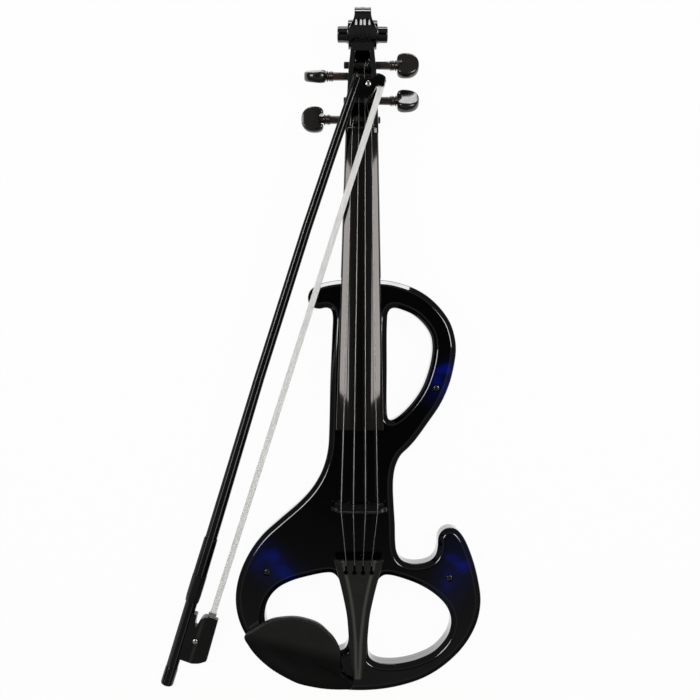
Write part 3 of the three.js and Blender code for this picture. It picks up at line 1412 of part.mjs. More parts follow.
function makeBowScrew() {
  const tip = bowStickStart + bowScrewLength - runningGap;
  const low = bowStickStart - gap - bowKnobLength;
  const round = bowKnobRadius / 3;
  return turned([[0, low], [bowKnobRadius - round, low], [bowKnobRadius, low + round],
    [bowKnobRadius, low + bowKnobLength - round / 2], [bowKnobRadius - round / 2, low + bowKnobLength],
    [bowScrewRadius, low + bowKnobLength], [bowScrewRadius, tip], [0, tip]],
  new THREE.Vector3(0, 1, 0), new THREE.Vector3(), plainSides);
}

function hairRing(along, across, extra) {
  const half = hairHalf + extra;
  const thick = bowHairThickness / 2 + extra;
  return [[-half, -thick], [half, -thick], [half, thick], [-half, thick]]
    .map(([x, z]) => new THREE.Vector3(across + x, along, z));
}

function makeHair() {
  return skinned([hairRing(bowFrogEnd - 4 * ferruleLength, bowHairOffset, 0),
    hairRing(bowFrogEnd, bowHairOffset, 0),
    hairRing(bowHeadStart, bowHairHeadOffset, 0),
    hairRing(bowHairEnd, bowHairHeadOffset, 0)], flattenXZ);
}

function makeFerrule() {
  const start = bowFrogEnd + gap;
  const end = start + ferruleLength;
  const slope = (bowHairHeadOffset - bowHairOffset) / (bowHeadStart - bowFrogEnd);
  const offset = bowHairOffset + slope * ferruleLength / 2;
  return skinned([hairRing(start, offset, gap + ferruleWall), hairRing(end, offset, gap + ferruleWall)],
    flattenXZ).subtract(skinned([hairRing(start - overrun, offset, gap),
    hairRing(end + overrun, offset, gap)], flattenXZ));
}

function makeGrip() {
  const end = bowGripStart + bowGripLength;
  const { across } = stickCentre((bowGripStart + end) / 2);
  const outer = bar(new THREE.Vector3(across, bowGripStart, 0), new THREE.Vector3(across, end, 0),
    bowGripRadius, fineSides);
  return outer.subtract(stickBetween(bowGripStart - overrun, end + overrun, gap));
}

function makeLapping() {
  const start = bowGripStart + bowGripLength + gap;
  const end = start + bowLappingLength;
  return stickBetween(start, end, bowLappingThickness).subtract(
    stickBetween(start - overrun, end + overrun, gap));
}

function makeFlatScrew(across, along, top) {
  return makeScrew(new THREE.Vector3(across, along, top + gap + screwHeadHeight),
    new THREE.Vector3(across, along, runningGap), screwHeadRadius, screwHeadHeight, screwRadius);
}

// The assembly

const violin = new THREE.Group();
const bowHeading = new THREE.Group();
const bow = new THREE.Group();
bowHeading.position.set(bowButtX, bowButtY, bowButtHeight);
bowHeading.rotation.z = -bowTurn;
bow.rotation.x = bowTilt();
bowHeading.add(bow);
violin.add(bowHeading);

function addPiece(name, solid, finish, parent = violin) {
  const [color, roughness, metalness] = finishes[finish];
  const mesh = new THREE.Mesh(toGeometry(solid),
    new THREE.MeshStandardMaterial({ color, roughness, metalness }));
  mesh.name = name;
  parent.add(mesh);
  return mesh;
}

const bodyForm = roundedBody();
addPiece('front_shell', makeFrontShell(bodyForm), 'glossBlack');
addPiece('back_shell', makeBackShell(bodyForm), 'glossBlack');
addPiece('neck', makeNeck(), 'glossBlack');
addPiece('fingerboard', makeFingerboard(), 'board');
addPiece('nut', makeNut(), 'ebony');
addPiece('bridge', makeBridge(), 'glossBlack');
addPiece('piezo_pickup', makePickup(), 'ceramic');
addPiece('tailpiece', makeTailpiece(), 'satinBlack');
addPiece('chin_rest', makeChinRest(), 'satinBlack');

bodyScrewPlaces.forEach((place, i) => addPiece(`body_screw_${i + 1}`, makeBodyScrew(place), 'steel'));
chinScrewPlaces.forEach((place, i) => addPiece(`chin_rest_screw_${i + 1}`,
  makeLongScrew(place, longScrewTipHeight - joinDepth), 'steel'));
addPiece('tailpiece_screw', makeLongScrew(tailScrewPlace, longScrewTipHeight), 'steel');
neckBoltPlaces.forEach((place, i) => addPiece(`neck_bolt_${i + 1}`, makeNeckBolt(place), 'steel'));

addPiece('battery', makeBattery(), 'cell');
addPiece('battery_snap', makeSnap(), 'rubber');
addPiece('battery_door', makeDoor(), 'glossBlack');
addPiece('preamp_board', makeBoard(), 'circuit');
addPiece('volume_pot', makeVolumePot(), 'steel');
addPiece('volume_shaft', makeVolumeShaft(), 'brass');
addPiece('volume_knob', makeVolumeKnob(), 'satinBlack');
addPiece('power_switch', makeSwitchCase(), 'satinBlack');
addPiece('power_slider', makeSlider(), 'satinBlack');
addPiece('line_jack', makeJack(), 'steel');
addPiece('jack_nut', makeJackNut(), 'steel');
addPiece('battery_lead', makeBatteryLead(), 'rubber');
addPiece('pickup_lead', makePickupLead(), 'rubber');
addPiece('jack_lead', makeJackLead(), 'rubber');

strings.forEach((string) => {
  const { y, z } = pegPlace(string);
  const peg = addPiece(`peg_${string.name}`, makePeg(string), 'ebony');
  peg.position.set(0, y, z);
  peg.rotation.set(THREE.MathUtils.degToRad(string.turn), 0, string.side < 0 ? Math.PI : 0, 'XYZ');
  addPiece(`string_${string.name}`, tube(stringRoute(string), stringRadius), 'steel');
  addPiece(`ball_end_${string.name}`, makeBallEnd(string), 'brass');
  const points = windingPoints(string);
  addPiece(`winding_${string.name}`, tube(points, stringRadius, windingSides), 'steel');
  console.log(`winding_${string.name}: least gap to itself ${leastWindingGap(points).toFixed(2)} mm`);
});

addPiece('bow_stick', makeBowStick(), 'satinBlack', bow);
addPiece('bow_frog', makeFrog(), 'satinBlack', bow);
addPiece('bow_eyelet', makeEyelet(), 'brass', bow);
addPiece('bow_screw', makeBowScrew(), 'satinBlack', bow);
addPiece('bow_hair', makeHair(), 'hair', bow);
addPiece('bow_ferrule', makeFerrule(), 'steel', bow);
addPiece('bow_grip', makeGrip(), 'satinBlack', bow);
addPiece('bow_lapping', makeLapping(), 'satinBlack', bow);
addPiece('frog_screw', makeFlatScrew(frogScrewAcross, frogScrewAlong, bowFrogHalfThickness), 'steel', bow);
addPiece('bow_head_screw', makeFlatScrew(headScrewAcross, bowStickEnd - headScrewInset,
  bowHeadHalfThickness), 'steel', bow);

export default violin;
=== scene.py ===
# The electric violin with its bow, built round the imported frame.
# Sizes are millimetres until a mesh is made; the frame itself is in metres.
import bmesh
import bpy
from math import asin, atan2, cos, pi, radians, sin, sqrt, tan
from mathutils import Matrix, Vector


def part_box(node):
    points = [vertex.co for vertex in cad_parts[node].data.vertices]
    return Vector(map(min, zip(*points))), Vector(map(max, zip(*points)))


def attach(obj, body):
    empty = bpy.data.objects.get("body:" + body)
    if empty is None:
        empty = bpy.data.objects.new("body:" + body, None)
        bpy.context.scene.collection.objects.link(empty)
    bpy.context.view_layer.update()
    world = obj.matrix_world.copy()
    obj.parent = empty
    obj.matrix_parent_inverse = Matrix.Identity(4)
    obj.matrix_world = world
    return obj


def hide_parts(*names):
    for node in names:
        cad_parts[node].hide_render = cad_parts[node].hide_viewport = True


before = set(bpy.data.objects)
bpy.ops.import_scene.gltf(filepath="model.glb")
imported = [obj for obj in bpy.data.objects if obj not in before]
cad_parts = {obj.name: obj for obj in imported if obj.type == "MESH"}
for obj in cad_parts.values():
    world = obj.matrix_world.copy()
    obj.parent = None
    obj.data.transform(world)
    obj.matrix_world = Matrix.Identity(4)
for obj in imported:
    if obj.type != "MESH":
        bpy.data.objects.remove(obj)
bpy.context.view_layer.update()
scene = bpy.context.scene
toMetres = 0.001
overrun = 2  # how far a cutter runs past what it cuts


# Numbers and loops

def mix(low, high, share):
    return low + (high - low) * share


def eased(share):
    share = min(max(share, 0), 1)
    return share * share * (3 - 2 * share)


def stepped(table, place):
    # straight lines between the rows of a table whose first column is the place
    for low, high in zip(table, table[1:]):
        if place <= high[0]:
            share = (place - low[0]) / (high[0] - low[0])
            return [mix(a, b, max(share, 0)) for a, b in zip(low[1:], high[1:])]
    return list(table[-1][1:])


def flowing(table, place):
    # a smooth line through the rows, without overshoot
    places = [row[0] for row in table]
    at = max(i for i in range(len(table) - 1) if places[i] <= place or i == 0)
    width = places[at + 1] - places[at]
    share = min(max((place - places[at]) / width, 0), 1)
    result = []
    for column in range(1, len(table[0])):
        rises = [(b[column] - a[column]) / (b[0] - a[0]) for a, b in zip(table, table[1:])]

        def lean(i):
            if i == 0 or i == len(rises):
                return rises[min(i, len(rises) - 1)]
            if rises[i - 1] * rises[i] <= 0:
                return 0
            return 2 / (1 / rises[i - 1] + 1 / rises[i])

        low, high = table[at][column], table[at + 1][column]
        a = width * lean(at) - (high - low)
        b = (high - low) - width * lean(at + 1)
        result.append(mix(low, high, share) + share * (1 - share) * (a * (1 - share) + b * share))
    return result


def loopArea(loop):
    return sum(a.x * b.y - b.x * a.y for a, b in zip(loop, loop[1:] + loop[:1])) / 2


def evenly(points, count):
    # as many points, spread evenly round the closed line through the given ones
    line = points + points[:1]
    lengths = [0]
    for a, b in zip(line, line[1:]):
        lengths.append(lengths[-1] + (b - a).length)
    result = []
    at = 0
    for i in range(count):
        want = lengths[-1] * i / count
        while at < len(lengths) - 2 and lengths[at + 1] < want:
            at += 1
        share = (want - lengths[at]) / max(lengths[at + 1] - lengths[at], 1e-9)
        result.append(line[at].lerp(line[at + 1], share))
    return result


def smoothLoop(points, count):
    # a closed line through points, with the tightness of the frame's own outlines
    fine = []
    total = len(points)
    for i in range(total):
        p = [points[(i + k) % total] for k in (-1, 0, 1, 2)]
        d = [sqrt((b - a).length) for a, b in zip(p, p[1:])]
        t1 = ((p[1] - p[0]) / d[0] - (p[2] - p[0]) / (d[0] + d[1]) + (p[2] - p[1]) / d[1]) * d[1]
        t2 = ((p[2] - p[1]) / d[1] - (p[3] - p[1]) / (d[1] + d[2]) + (p[3] - p[2]) / d[2]) * d[1]
        for k in range(16):
            t = k / 16
            fine.append(p[1] + t1 * t + (3 * (p[2] - p[1]) - 2 * t1 - t2) * t * t
                        + (2 * (p[1] - p[2]) + t1 + t2) * t * t * t)
    loop = evenly(fine, count)
    return loop if loopArea(loop) > 0 else loop[::-1]


def inset(loop, distance):
    # moves a loop inwards, or outwards where the distance is negative
    result = []
    for before, point, after in zip(loop[-1:] + loop[:-1], loop, loop[1:] + loop[:1]):
        along = (after - before).normalized()
        result.append(Vector((point.x - along.y * distance, point.y + along.x * distance)))
    return result


def atLevel(loop, z):
    return [Vector((point.x, point.y, z)) for point in loop]


def drawnIn(loop, rows):
    # the loop at the level of each row, moved inwards by the row's run
    return [atLevel(inset(loop, run), z) for run, z in rows]


def roundedBox(halfX, halfY, radius, corner=5, x=0, y=0):
    loop = []
    for quarter in range(4):
        middle = Vector(((halfX - radius) * (1, -1, -1, 1)[quarter],
                         (halfY - radius) * (1, 1, -1, -1)[quarter]))
        for i in range(corner + 1):
            angle = pi / 2 * (quarter + i / corner)
            loop.append(middle + Vector((x + radius * cos(angle), y + radius * sin(angle))))
    return loop


# Forms: a list of points and a list of faces, always closed and facing outwards

def outward(points, faces):
    volume = sum(points[face[0]].dot(points[b].cross(points[c]))
                 for face in faces for b, c in zip(face[1:], face[2:]))
    return points, faces if volume > 0 else [face[::-1] for face in faces]


def skin(rings):
    # closed skin over rings of as many points each; a ring of one point is a pole
    points, starts, faces = [], [], []
    for ring in rings:
        starts.append(len(points))
        points += [Vector(point) for point in ring]
    for a, b, low, high in zip(starts, starts[1:], rings, rings[1:]):
        count = max(len(low), len(high))
        for i in range(count):
            j = (i + 1) % count
            if len(low) == 1:
                faces.append([a, b + j, b + i])
            elif len(high) == 1:
                faces.append([a + i, a + j, b])
            else:
                faces.append([a + i, a + j, b + j, b + i])
    if len(rings[0]) > 1:
        faces.append(list(range(len(rings[0])))[::-1])
    if len(rings[-1]) > 1:
        faces.append(list(range(starts[-1], len(points))))
    return outward(points, faces)


def turned(profile, at=(0, 0, 0), way=(0, 0, 1), sides=48):
    # a solid of revolution of [radius, distance] pairs
    way = Vector(way).normalized()
    side = way.orthogonal().normalized()
    up = way.cross(side)
    rings = []
    for radius, along in profile:
        centre = Vector(at) + way * along
        rings.append([centre] if radius < 1e-6 else [
            centre + side * radius * cos(2 * pi * i / sides) + up * radius * sin(2 * pi * i / sides)
            for i in range(sides)])
    return skin(rings)


def rod(start, end, radius, sides=32):
    start, end = Vector(start), Vector(end)
    return turned([[radius, 0], [radius, (end - start).length]], start, end - start, sides)


def prism(loop, z0, z1):
    return skin([atLevel(loop, z0), atLevel(loop, z1)])


def prismX(loop, x0, x1):
    return skin([[Vector((x, p.x, p.y)) for p in loop] for x in (x0, x1)])


def around(middle, half):
    return middle - half, middle + half


def box(xs, ys, zs):
    return prism([Vector((xs[0], ys[0])), Vector((xs[1], ys[0])), Vector((xs[1], ys[1])),
                  Vector((xs[0], ys[1]))], *zs)


def together(*forms):
    points, faces = [], []
    for formPoints, formFaces in forms:
        start = len(points)
        points += formPoints
        faces += [[start + i for i in face] for face in formFaces]
    return points, faces


def moved(form, matrix):
    return [matrix @ point for point in form[0]], form[1]


def tube(path, radius, sides=12):
    # a round wire along a path, its section carried along without twist
    path = [Vector(point) for point in path]
    side = None
    rings = []
    for i, point in enumerate(path):
        way = (path[min(i + 1, len(path) - 1)] - path[max(i - 1, 0)]).normalized()
        side = way.orthogonal() if side is None else side - way * side.dot(way)
        side.normalize()
        up = way.cross(side)
        rings.append([point + side * radius * cos(2 * pi * k / sides)
                      + up * radius * sin(2 * pi * k / sides) for k in range(sides)])
    return skin(rings)


# Objects

def rawPiece(name, form):
    mesh = bpy.data.meshes.new(name)
    mesh.from_pydata([point * toMetres for point in form[0]], [], form[1])
    mesh.update()
    piece = bpy.data.objects.new(name, mesh)
    scene.collection.objects.link(piece)
    return piece


def settled(piece):
    # turns a piece with live modifiers into a plain mesh
    bpy.context.view_layer.update()
    mesh = bpy.data.meshes.new_from_object(
        piece.evaluated_get(bpy.context.evaluated_depsgraph_get()))
    piece.modifiers.clear()
    piece.data = mesh
    return piece


def carved(name, form, added=(), cut=()):
    # joins others to a form and cuts others from it, which may be forms or pieces already made
    piece = rawPiece(name, form) if isinstance(form, tuple) else form
    tools = []
    for operation, forms in (('UNION', added), ('DIFFERENCE', cut)):
        for other in forms:
            tool = rawPiece(name + 'Tool', other) if isinstance(other, tuple) else other
            tools.append(tool)
            modifier = piece.modifiers.new(operation, 'BOOLEAN')
            modifier.operation = operation
            modifier.solver = 'MANIFOLD'
            modifier.object = tool
    settled(piece)
    for tool in tools:
        bpy.data.objects.remove(tool)
    return piece


def fitted(piece, body, finish, nodes, angle=32):
    # shades a piece smoothly up to an angle, gives it its finish, and puts it on its body
    mesh = piece.data
    mesh.materials.clear()
    mesh.materials.append(finish)
    mesh.polygons.foreach_set('use_smooth', [True] * len(mesh.polygons))
    mesh.set_sharp_from_angle(angle=radians(angle))
    weighted = piece.modifiers.new('weighted', 'WEIGHTED_NORMAL')
    weighted.keep_sharp = True
    weighted.weight = 80
    settled(piece)
    piece.data.name = piece.name
    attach(piece, body)
    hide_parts(*nodes)


# Shader nodes

class Reading:
    # wraps an output socket, so that arithmetic on it adds its Math nodes
    def __init__(self, nodes, socket):
        self.nodes = nodes
        self.socket = socket

    def math(self, operation, *others):
        return self.nodes.math(operation, self, *others)

    def __add__(self, other):
        return self.math('ADD', other)

    def __mul__(self, other):
        return self.math('MULTIPLY', other)

    def __sub__(self, other):
        return self.math('SUBTRACT', other)

    def __rsub__(self, other):
        return self.nodes.math('SUBTRACT', other, self)

    __radd__ = __add__
    __rmul__ = __mul__

    def clamped(self, low=0, high=1):
        return self.math('MAXIMUM', low).math('MINIMUM', high)

    def ramp(self, low, high, to0=0, to1=1):
        # smooth step from one reading to another
        return self.nodes.node('ShaderNodeMapRange', {'interpolation_type': 'SMOOTHSTEP'},
                               {'Value': self, 'From Min': low, 'From Max': high,
                                'To Min': to0, 'To Max': to1})


class NodeSet:
    # the nodes of a material, of the world or of a piece's tree
    def __init__(self, owner):
        owner.use_nodes = True
        self.tree = owner.node_tree
        self.tree.nodes.clear()

    def node(self, kind, settings=None, values=None, output=0):
        made = self.tree.nodes.new(kind)
        for key, value in (settings or {}).items():
            if key == 'stops':
                ramp = made.color_ramp
                while len(ramp.elements) < len(value):
                    ramp.elements.new(1)
                for element, (place, tone) in zip(ramp.elements, value):
                    element.position = place
                    element.color = tone
            else:
                setattr(made, key, value)
        for key, value in (values or {}).items():
            socket = made.inputs[key] if isinstance(key, int) else next(
                s for s in made.inputs if s.name == key and s.enabled)
            for source in value if isinstance(value, list) else [value]:
                if isinstance(source, Reading):
                    self.tree.links.new(source.socket, socket)
                else:
                    socket.default_value = source
        outputs = [s for s in made.outputs if s.enabled]
        if isinstance(output, str):
            return Reading(self, next(s for s in outputs if s.name == output))
        return Reading(self, outputs[output]) if outputs else None

    def math(self, operation, *values):
        return self.node('ShaderNodeMath', {'operation': operation}, dict(enumerate(values)))

    def vector(self, operation, *values):
        return self.node('ShaderNodeVectorMath', {'operation': operation}, dict(enumerate(values)))

    def scaled(self, place, scale):
        return self.node('ShaderNodeVectorMath', {'operation': 'SCALE'}, {0: place, 'Scale': scale})

    def coordinates(self):
        # the object's own coordinates in millimetres
        return self.scaled(self.node('ShaderNodeTexCoord', output='Object'), 1000)

    def axes(self, place):
        split = self.node('ShaderNodeSeparateXYZ', None, {0: place})
        return [Reading(self, split.socket.node.outputs[i]) for i in range(3)]

    def mapped(self, place, rotation=(0, 0, 0), scale=(1, 1, 1)):
        return self.node('ShaderNodeMapping', None, {
            'Vector': place, 'Rotation': rotation, 'Scale': scale})

    def framed(self, place, location, rotation, scale=(1, 1, 1)):
        # the place as seen from a frame of its own
        return self.node('ShaderNodeMapping', {'vector_type': 'TEXTURE'}, {
            'Vector': place, 'Location': location, 'Rotation': rotation, 'Scale': scale})

    def noise(self, place, scale, detail=2, roughness=0.5, distortion=0):
        return self.node('ShaderNodeTexNoise', None, {
            'Vector': place, 'Scale': scale, 'Detail': detail, 'Roughness': roughness,
            'Distortion': distortion})

    def cells(self, place, scale):
        return self.node('ShaderNodeTexVoronoi', None, {'Vector': place, 'Scale': scale},
                         'Distance')

    def wave(self, place, scale, distortion=0):
        return self.node('ShaderNodeTexWave', {'bands_direction': 'Y'}, {
            'Vector': place, 'Scale': scale, 'Distortion': distortion}, 'Fac')

    def colours(self, factor, *pair):
        # from the first colour to the second, each a reading or three numbers
        first, second = [colour(*tone) if isinstance(tone, tuple) else tone for tone in pair]
        return self.node('ShaderNodeMix', {'data_type': 'RGBA'},
                         {'Factor': factor, 'A': first, 'B': second})

    def bump(self, height):
        # the height is in millimetres
        return self.node('ShaderNodeBump', None, {
            'Height': height, 'Distance': toMetres, 'Strength': 1})


def colour(red, green, blue):
    return (red, green, blue, 1)


class Finish(NodeSet):
    def __init__(self, name, **fixed):
        self.material = bpy.data.materials.new(name)
        super().__init__(self.material)
        self.shader = self.node('ShaderNodeBsdfPrincipled', None,
                                {key.replace('_', ' '): value for key, value in fixed.items()})
        self.node('ShaderNodeOutputMaterial', None, {'Surface': self.shader})

    def feed(self, **readings):
        for key, value in readings.items():
            self.tree.links.new(value.socket, self.shader.socket.node.inputs[key.replace('_', ' ')])
        return self.material


def begun(name, **fixed):
    finish = Finish(name, **fixed)
    return finish, finish.coordinates()


# Body: two shells that meet half way up

body = {
    'length': 361, 'halfWidth': 107.6, 'bottom': -163.1, 'thickness': 25, 'parting': 12.5,
    'seam': 0.3, 'outlineSteps': 420, 'openingSteps': 170,
    # the rounded edge seen in section: how far in, how far up from the back
    'edge': [(0, 20.58), (0.033, 20.89), (0.13, 21.19), (0.302, 21.48), (0.526, 21.72),
             (3.526, 24.28), (3.885, 24.543), (4.254, 24.739), (4.647, 24.883), (5.057, 24.97),
             (5.474, 25), (6.4, 25)],
    'hollowEdge': [(2.6, 18.6), (5.6, 22.4)],
    'outline': [
        [0, 1], [0.175, 0.998], [0.26, 0.995], [0.393, 0.984], [0.483, 0.972], [0.572, 0.954],
        [0.663, 0.927], [0.734, 0.895], [0.771, 0.861], [0.782, 0.831], [0.768, 0.794],
        [0.729, 0.746], [0.659, 0.698], [0.545, 0.647], [0.456, 0.61], [0.4, 0.591],
        [0.336, 0.572], [0.297, 0.547], [0.28, 0.52], [0.277, 0.494], [0.282, 0.459],
        [0.294, 0.406], [0.299, 0.36], [0.311, 0.337], [0.348, 0.319], [0.41, 0.311],
        [0.491, 0.31], [0.579, 0.317], [0.626, 0.331], [0.643, 0.352], [0.649, 0.376],
        [0.686, 0.392], [0.741, 0.398], [0.795, 0.394], [0.849, 0.377], [0.919, 0.332],
        [0.976, 0.271], [0.998, 0.218], [0.965, 0.165], [0.871, 0.113], [0.722, 0.067],
        [0.546, 0.033], [0.341, 0.012], [0.138, 0.002], [-0.074, 0.001], [-0.341, 0.012],
        [-0.546, 0.033], [-0.722, 0.067], [-0.871, 0.113], [-0.967, 0.165], [-1, 0.218],
        [-0.974, 0.275], [-0.893, 0.332], [-0.785, 0.377], [-0.655, 0.413], [-0.484, 0.458],
        [-0.388, 0.49], [-0.317, 0.525], [-0.277, 0.557], [-0.255, 0.591], [-0.248, 0.635],
        [-0.242, 0.757], [-0.229, 0.867], [-0.227, 0.912], [-0.242, 0.926], [-0.279, 0.93],
        [-0.333, 0.927], [-0.386, 0.93], [-0.42, 0.94], [-0.43, 0.955], [-0.415, 0.97],
        [-0.377, 0.981], [-0.321, 0.989], [-0.162, 0.998],
    ],
    'openings': [[
        [0.219, 0.787], [0.218, 0.895], [0.225, 0.918], [0.249, 0.928], [0.281, 0.93],
        [0.337, 0.926], [0.435, 0.913], [0.52, 0.89], [0.573, 0.865], [0.588, 0.839],
        [0.583, 0.813], [0.558, 0.778], [0.507, 0.737], [0.431, 0.702], [0.335, 0.672],
        [0.268, 0.659], [0.236, 0.66], [0.225, 0.672],
    ], [
        [-0.149, 0.263], [-0.173, 0.276], [-0.21, 0.285], [-0.26, 0.286], [-0.385, 0.279],
        [-0.547, 0.265], [-0.653, 0.248], [-0.72, 0.226], [-0.754, 0.2], [-0.758, 0.171],
        [-0.716, 0.135], [-0.595, 0.1], [-0.428, 0.085], [-0.26, 0.089], [-0.153, 0.097],
        [-0.104, 0.104], [-0.081, 0.121], [-0.08, 0.158], [-0.089, 0.197], [-0.115, 0.235],
    ], [
        [0.149, 0.262], [0.175, 0.274], [0.212, 0.281], [0.26, 0.281], [0.345, 0.275],
        [0.507, 0.257], [0.643, 0.231], [0.724, 0.204], [0.756, 0.175], [0.74, 0.143],
        [0.688, 0.118], [0.606, 0.095], [0.442, 0.074], [0.269, 0.066], [0.144, 0.071],
        [0.093, 0.083], [0.081, 0.108], [0.081, 0.153], [0.09, 0.194], [0.115, 0.232],
    ]],
    'frontScrews': [[0.622, 0.737], [-0.743, 0.288], [0.74, 0.277]],
    'chinScrews': [[-0.81, 0.132], [-0.372, 0.053]],
    'tailScrew': (0, -143.1),
    'neckBolts': [(-7, 185.9), (7, 185.9), (0, 159.9)],
}
# the jack's place, and how deep and how wide each of its holes is, from the bass wall
jack = {
    'level': 12.5, 'along': 0.218, 'well': (2.6, 6.2), 'barrel': (7.8, 3.3), 'seat': (1.3, 5.2, 8.6),
}


def onBody(share):
    return Vector((share[0] * body['halfWidth'], body['bottom'] + share[1] * body['length']))


def within(loop, node):
    # draws a loop in so that it stays inside its node's box
    low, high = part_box(node)
    shares = []
    for axis in (0, 1):
        values = [point[axis] for point in loop]
        middle = (min(values) + max(values)) / 2
        width = (max(values) - min(values)) / 2
        room = min(high[axis] * 1000 - middle, middle - low[axis] * 1000)
        shares.append((middle, min(room / width, 1)))
    return [Vector([middle + (point[i] - middle) * share for i, (middle, share)
                    in enumerate(shares)]) for point in loop]


bodyLoop = within(smoothLoop([onBody(s) for s in body['outline']], body['outlineSteps']),
                  'front_shell')
openingLoops = [smoothLoop([onBody(s) for s in shares], body['openingSteps'])
                for shares in body['openings']]
frontScrewPlaces = [onBody(s) for s in body['frontScrews']]
chinScrewPlaces = [onBody(s) for s in body['chinScrews']]
longScrewPlaces = chinScrewPlaces + [Vector(body['tailScrew'])]
neckBoltPlaces = [Vector(place) for place in body['neckBolts']]
jackY = onBody([0, jack['along']]).y
wallX = -body['halfWidth']

screws = {
    'radius': 1.5, 'headRadius': 2.8, 'headHeight': 1.7, 'sink': 0.9,
    'boltRadius': 2, 'boltHeadRadius': 3.6, 'boltHeadHeight': 2.2, 'boltSink': 1.2,
    'post': 2.4, 'clearance': 0.3,
    'frontLow': 8, 'backLow': 6, 'backHigh': 15,  # where the bores in each shell begin and end
}
screwBore = screws['radius'] + screws['clearance']
faceLevel = body['thickness'] + screws['clearance']  # what stands on the face begins here


def posts(places, radius, low, high, sides=28):
    return [rod((p.x, p.y, low), (p.x, p.y, high), radius, sides) for p in places]


def fixings(part, more, low, high, sides=28):
    # forms round the long screws and the neck bolts, or round their heads
    kinds = (longScrewPlaces, 'radius'), (neckBoltPlaces, 'boltRadius')
    if part == 'head':
        kinds = (longScrewPlaces, 'headRadius'), (neckBoltPlaces, 'boltHeadRadius')
    return [form for places, kind in kinds
            for form in posts(places, screws[kind] + more, low, high, sides)]


def shellForm(parting, edge):
    return skin(drawnIn(bodyLoop, [(0, parting), *edge]))


def opened(loop, first, edge, past):
    # the space of an opening, which flares where its rim is rounded
    runs = [(-run, z) for run, z in edge]
    return skin(drawnIn(loop, [first, *runs, (runs[-1][0], edge[-1][1] + past)]))


def openingCutters(parting, edge):
    past = overrun if edge[-1][1] > parting else -overrun
    return [opened(loop, (0, parting - past), edge, past) for loop in openingLoops]


def hollowForm(parting, edge):
    past = 1 if edge[-1][1] > parting else -1
    wall = edge[0][0]
    inside = skin(drawnIn(bodyLoop, [(wall, parting - past), *edge]))
    return inside, [opened(loop, (-wall, parting - 2 * past), edge, past) for loop in openingLoops]


def fromWall(near, far, radius, sides=40):
    # a round form along x, its ends measured from the bass wall
    level = jack['level']
    return rod((wallX + near, jackY, level), (wallX + far, jackY, level), radius, sides)


def jackCutters():
    return [fromWall(-overrun, *jack['well']), fromWall(-overrun, *jack['barrel'], 32)]


def makeFrontShell():
    s = screws
    parting = body['parting'] + body['seam'] / 2
    low, high = s['frontLow'], body['thickness'] + overrun
    ceiling, openings = hollowForm(parting, body['hollowEdge'])
    holders = posts(frontScrewPlaces, s['headRadius'] + s['post'], low, high)
    holders += fixings('head', s['post'], low, high)
    hollow = carved('frontHollow', ceiling,
                    cut=openings + [together(*holders), fromWall(*jack['seat'])])
    room = s['clearance']
    sunk = body['thickness'] - s['sink'] - s['headHeight'] - room
    bores = posts(frontScrewPlaces, s['radius'] + room, low, high)
    heads = posts(frontScrewPlaces, s['headRadius'] + room, sunk, high, 40)
    blind = fixings('shaft', room, low, high)
    return carved('front_body_shell', shellForm(parting, body['edge']),
                  cut=openingCutters(parting, body['edge'])
                  + [hollow, together(*bores), together(*heads), together(*blind)]
                  + jackCutters())


bay = {
    'halfX': 14.05, 'low': 78.95, 'high': 133.65, 'wall': 1.6, 'wallLow': -1, 'wallTop': 9.6,
    'doorHalf': 15.5, 'doorLow': 76.3, 'doorHigh': 136.3, 'doorSide': 0.5, 'doorEnd': 0.9,
    'doorRound': 0.8, 'ceiling': 2.8, 'frameLow': -1.2,
    'hingeY': 134.5, 'hingeZ': 1.8, 'hingeRadius': 1.24, 'hingeRoom': 0.35,
}
control = {
    'y': -26, 'volumeX': 13.988, 'wellRadius': 11.5, 'wellDepth': 8, 'wellWall': 2.4,
    'shaft': 3.35, 'roof': 2.3,
    'switchX': -13.988, 'switchHalfX': 10, 'switchHalfY': 5.5, 'switchDepth': 4,
    'switchRound': 1.2, 'switchWall': 1.6, 'switchLow': -1.5,
    'slotHalf': 1.2, 'travel': 3, 'room': 0.35,
    'boardPosts': [(-24.5, -37.6), (-24.5, -14.4), (22.5, -37.6), (22.5, -14.4)],
    'boardPostRadius': 2.4, 'boardPostSpan': (1.6, 17.2),
}


def volumeBar(low, high, radius, sides):
    place = control['volumeX'], control['y']
    return rod((*place, low), (*place, high), radius, sides)


def backWalls():
    # the walls round the two controls, the battery and its door
    c, b = control, bay
    wall = b['wall']
    return [
        volumeBar(-overrun, c['wellDepth'] + c['roof'], c['wellRadius'] + c['wellWall'], 64),
        box(around(c['switchX'], c['switchHalfX'] + c['switchWall']),
            around(c['y'], c['switchHalfY'] + c['switchWall']),
            (c['switchLow'], c['switchDepth'] + c['roof'])),
        box(around(0, b['halfX'] + wall), (b['low'] - wall, b['high'] + wall),
            (b['wallLow'], b['wallTop'])),
        box(around(0, b['doorHalf'] + b['doorSide'] + wall),
            (b['doorLow'] - b['doorSide'] - wall, b['doorHigh'] + b['doorEnd'] + wall),
            (b['frameLow'], b['ceiling'] + wall))]


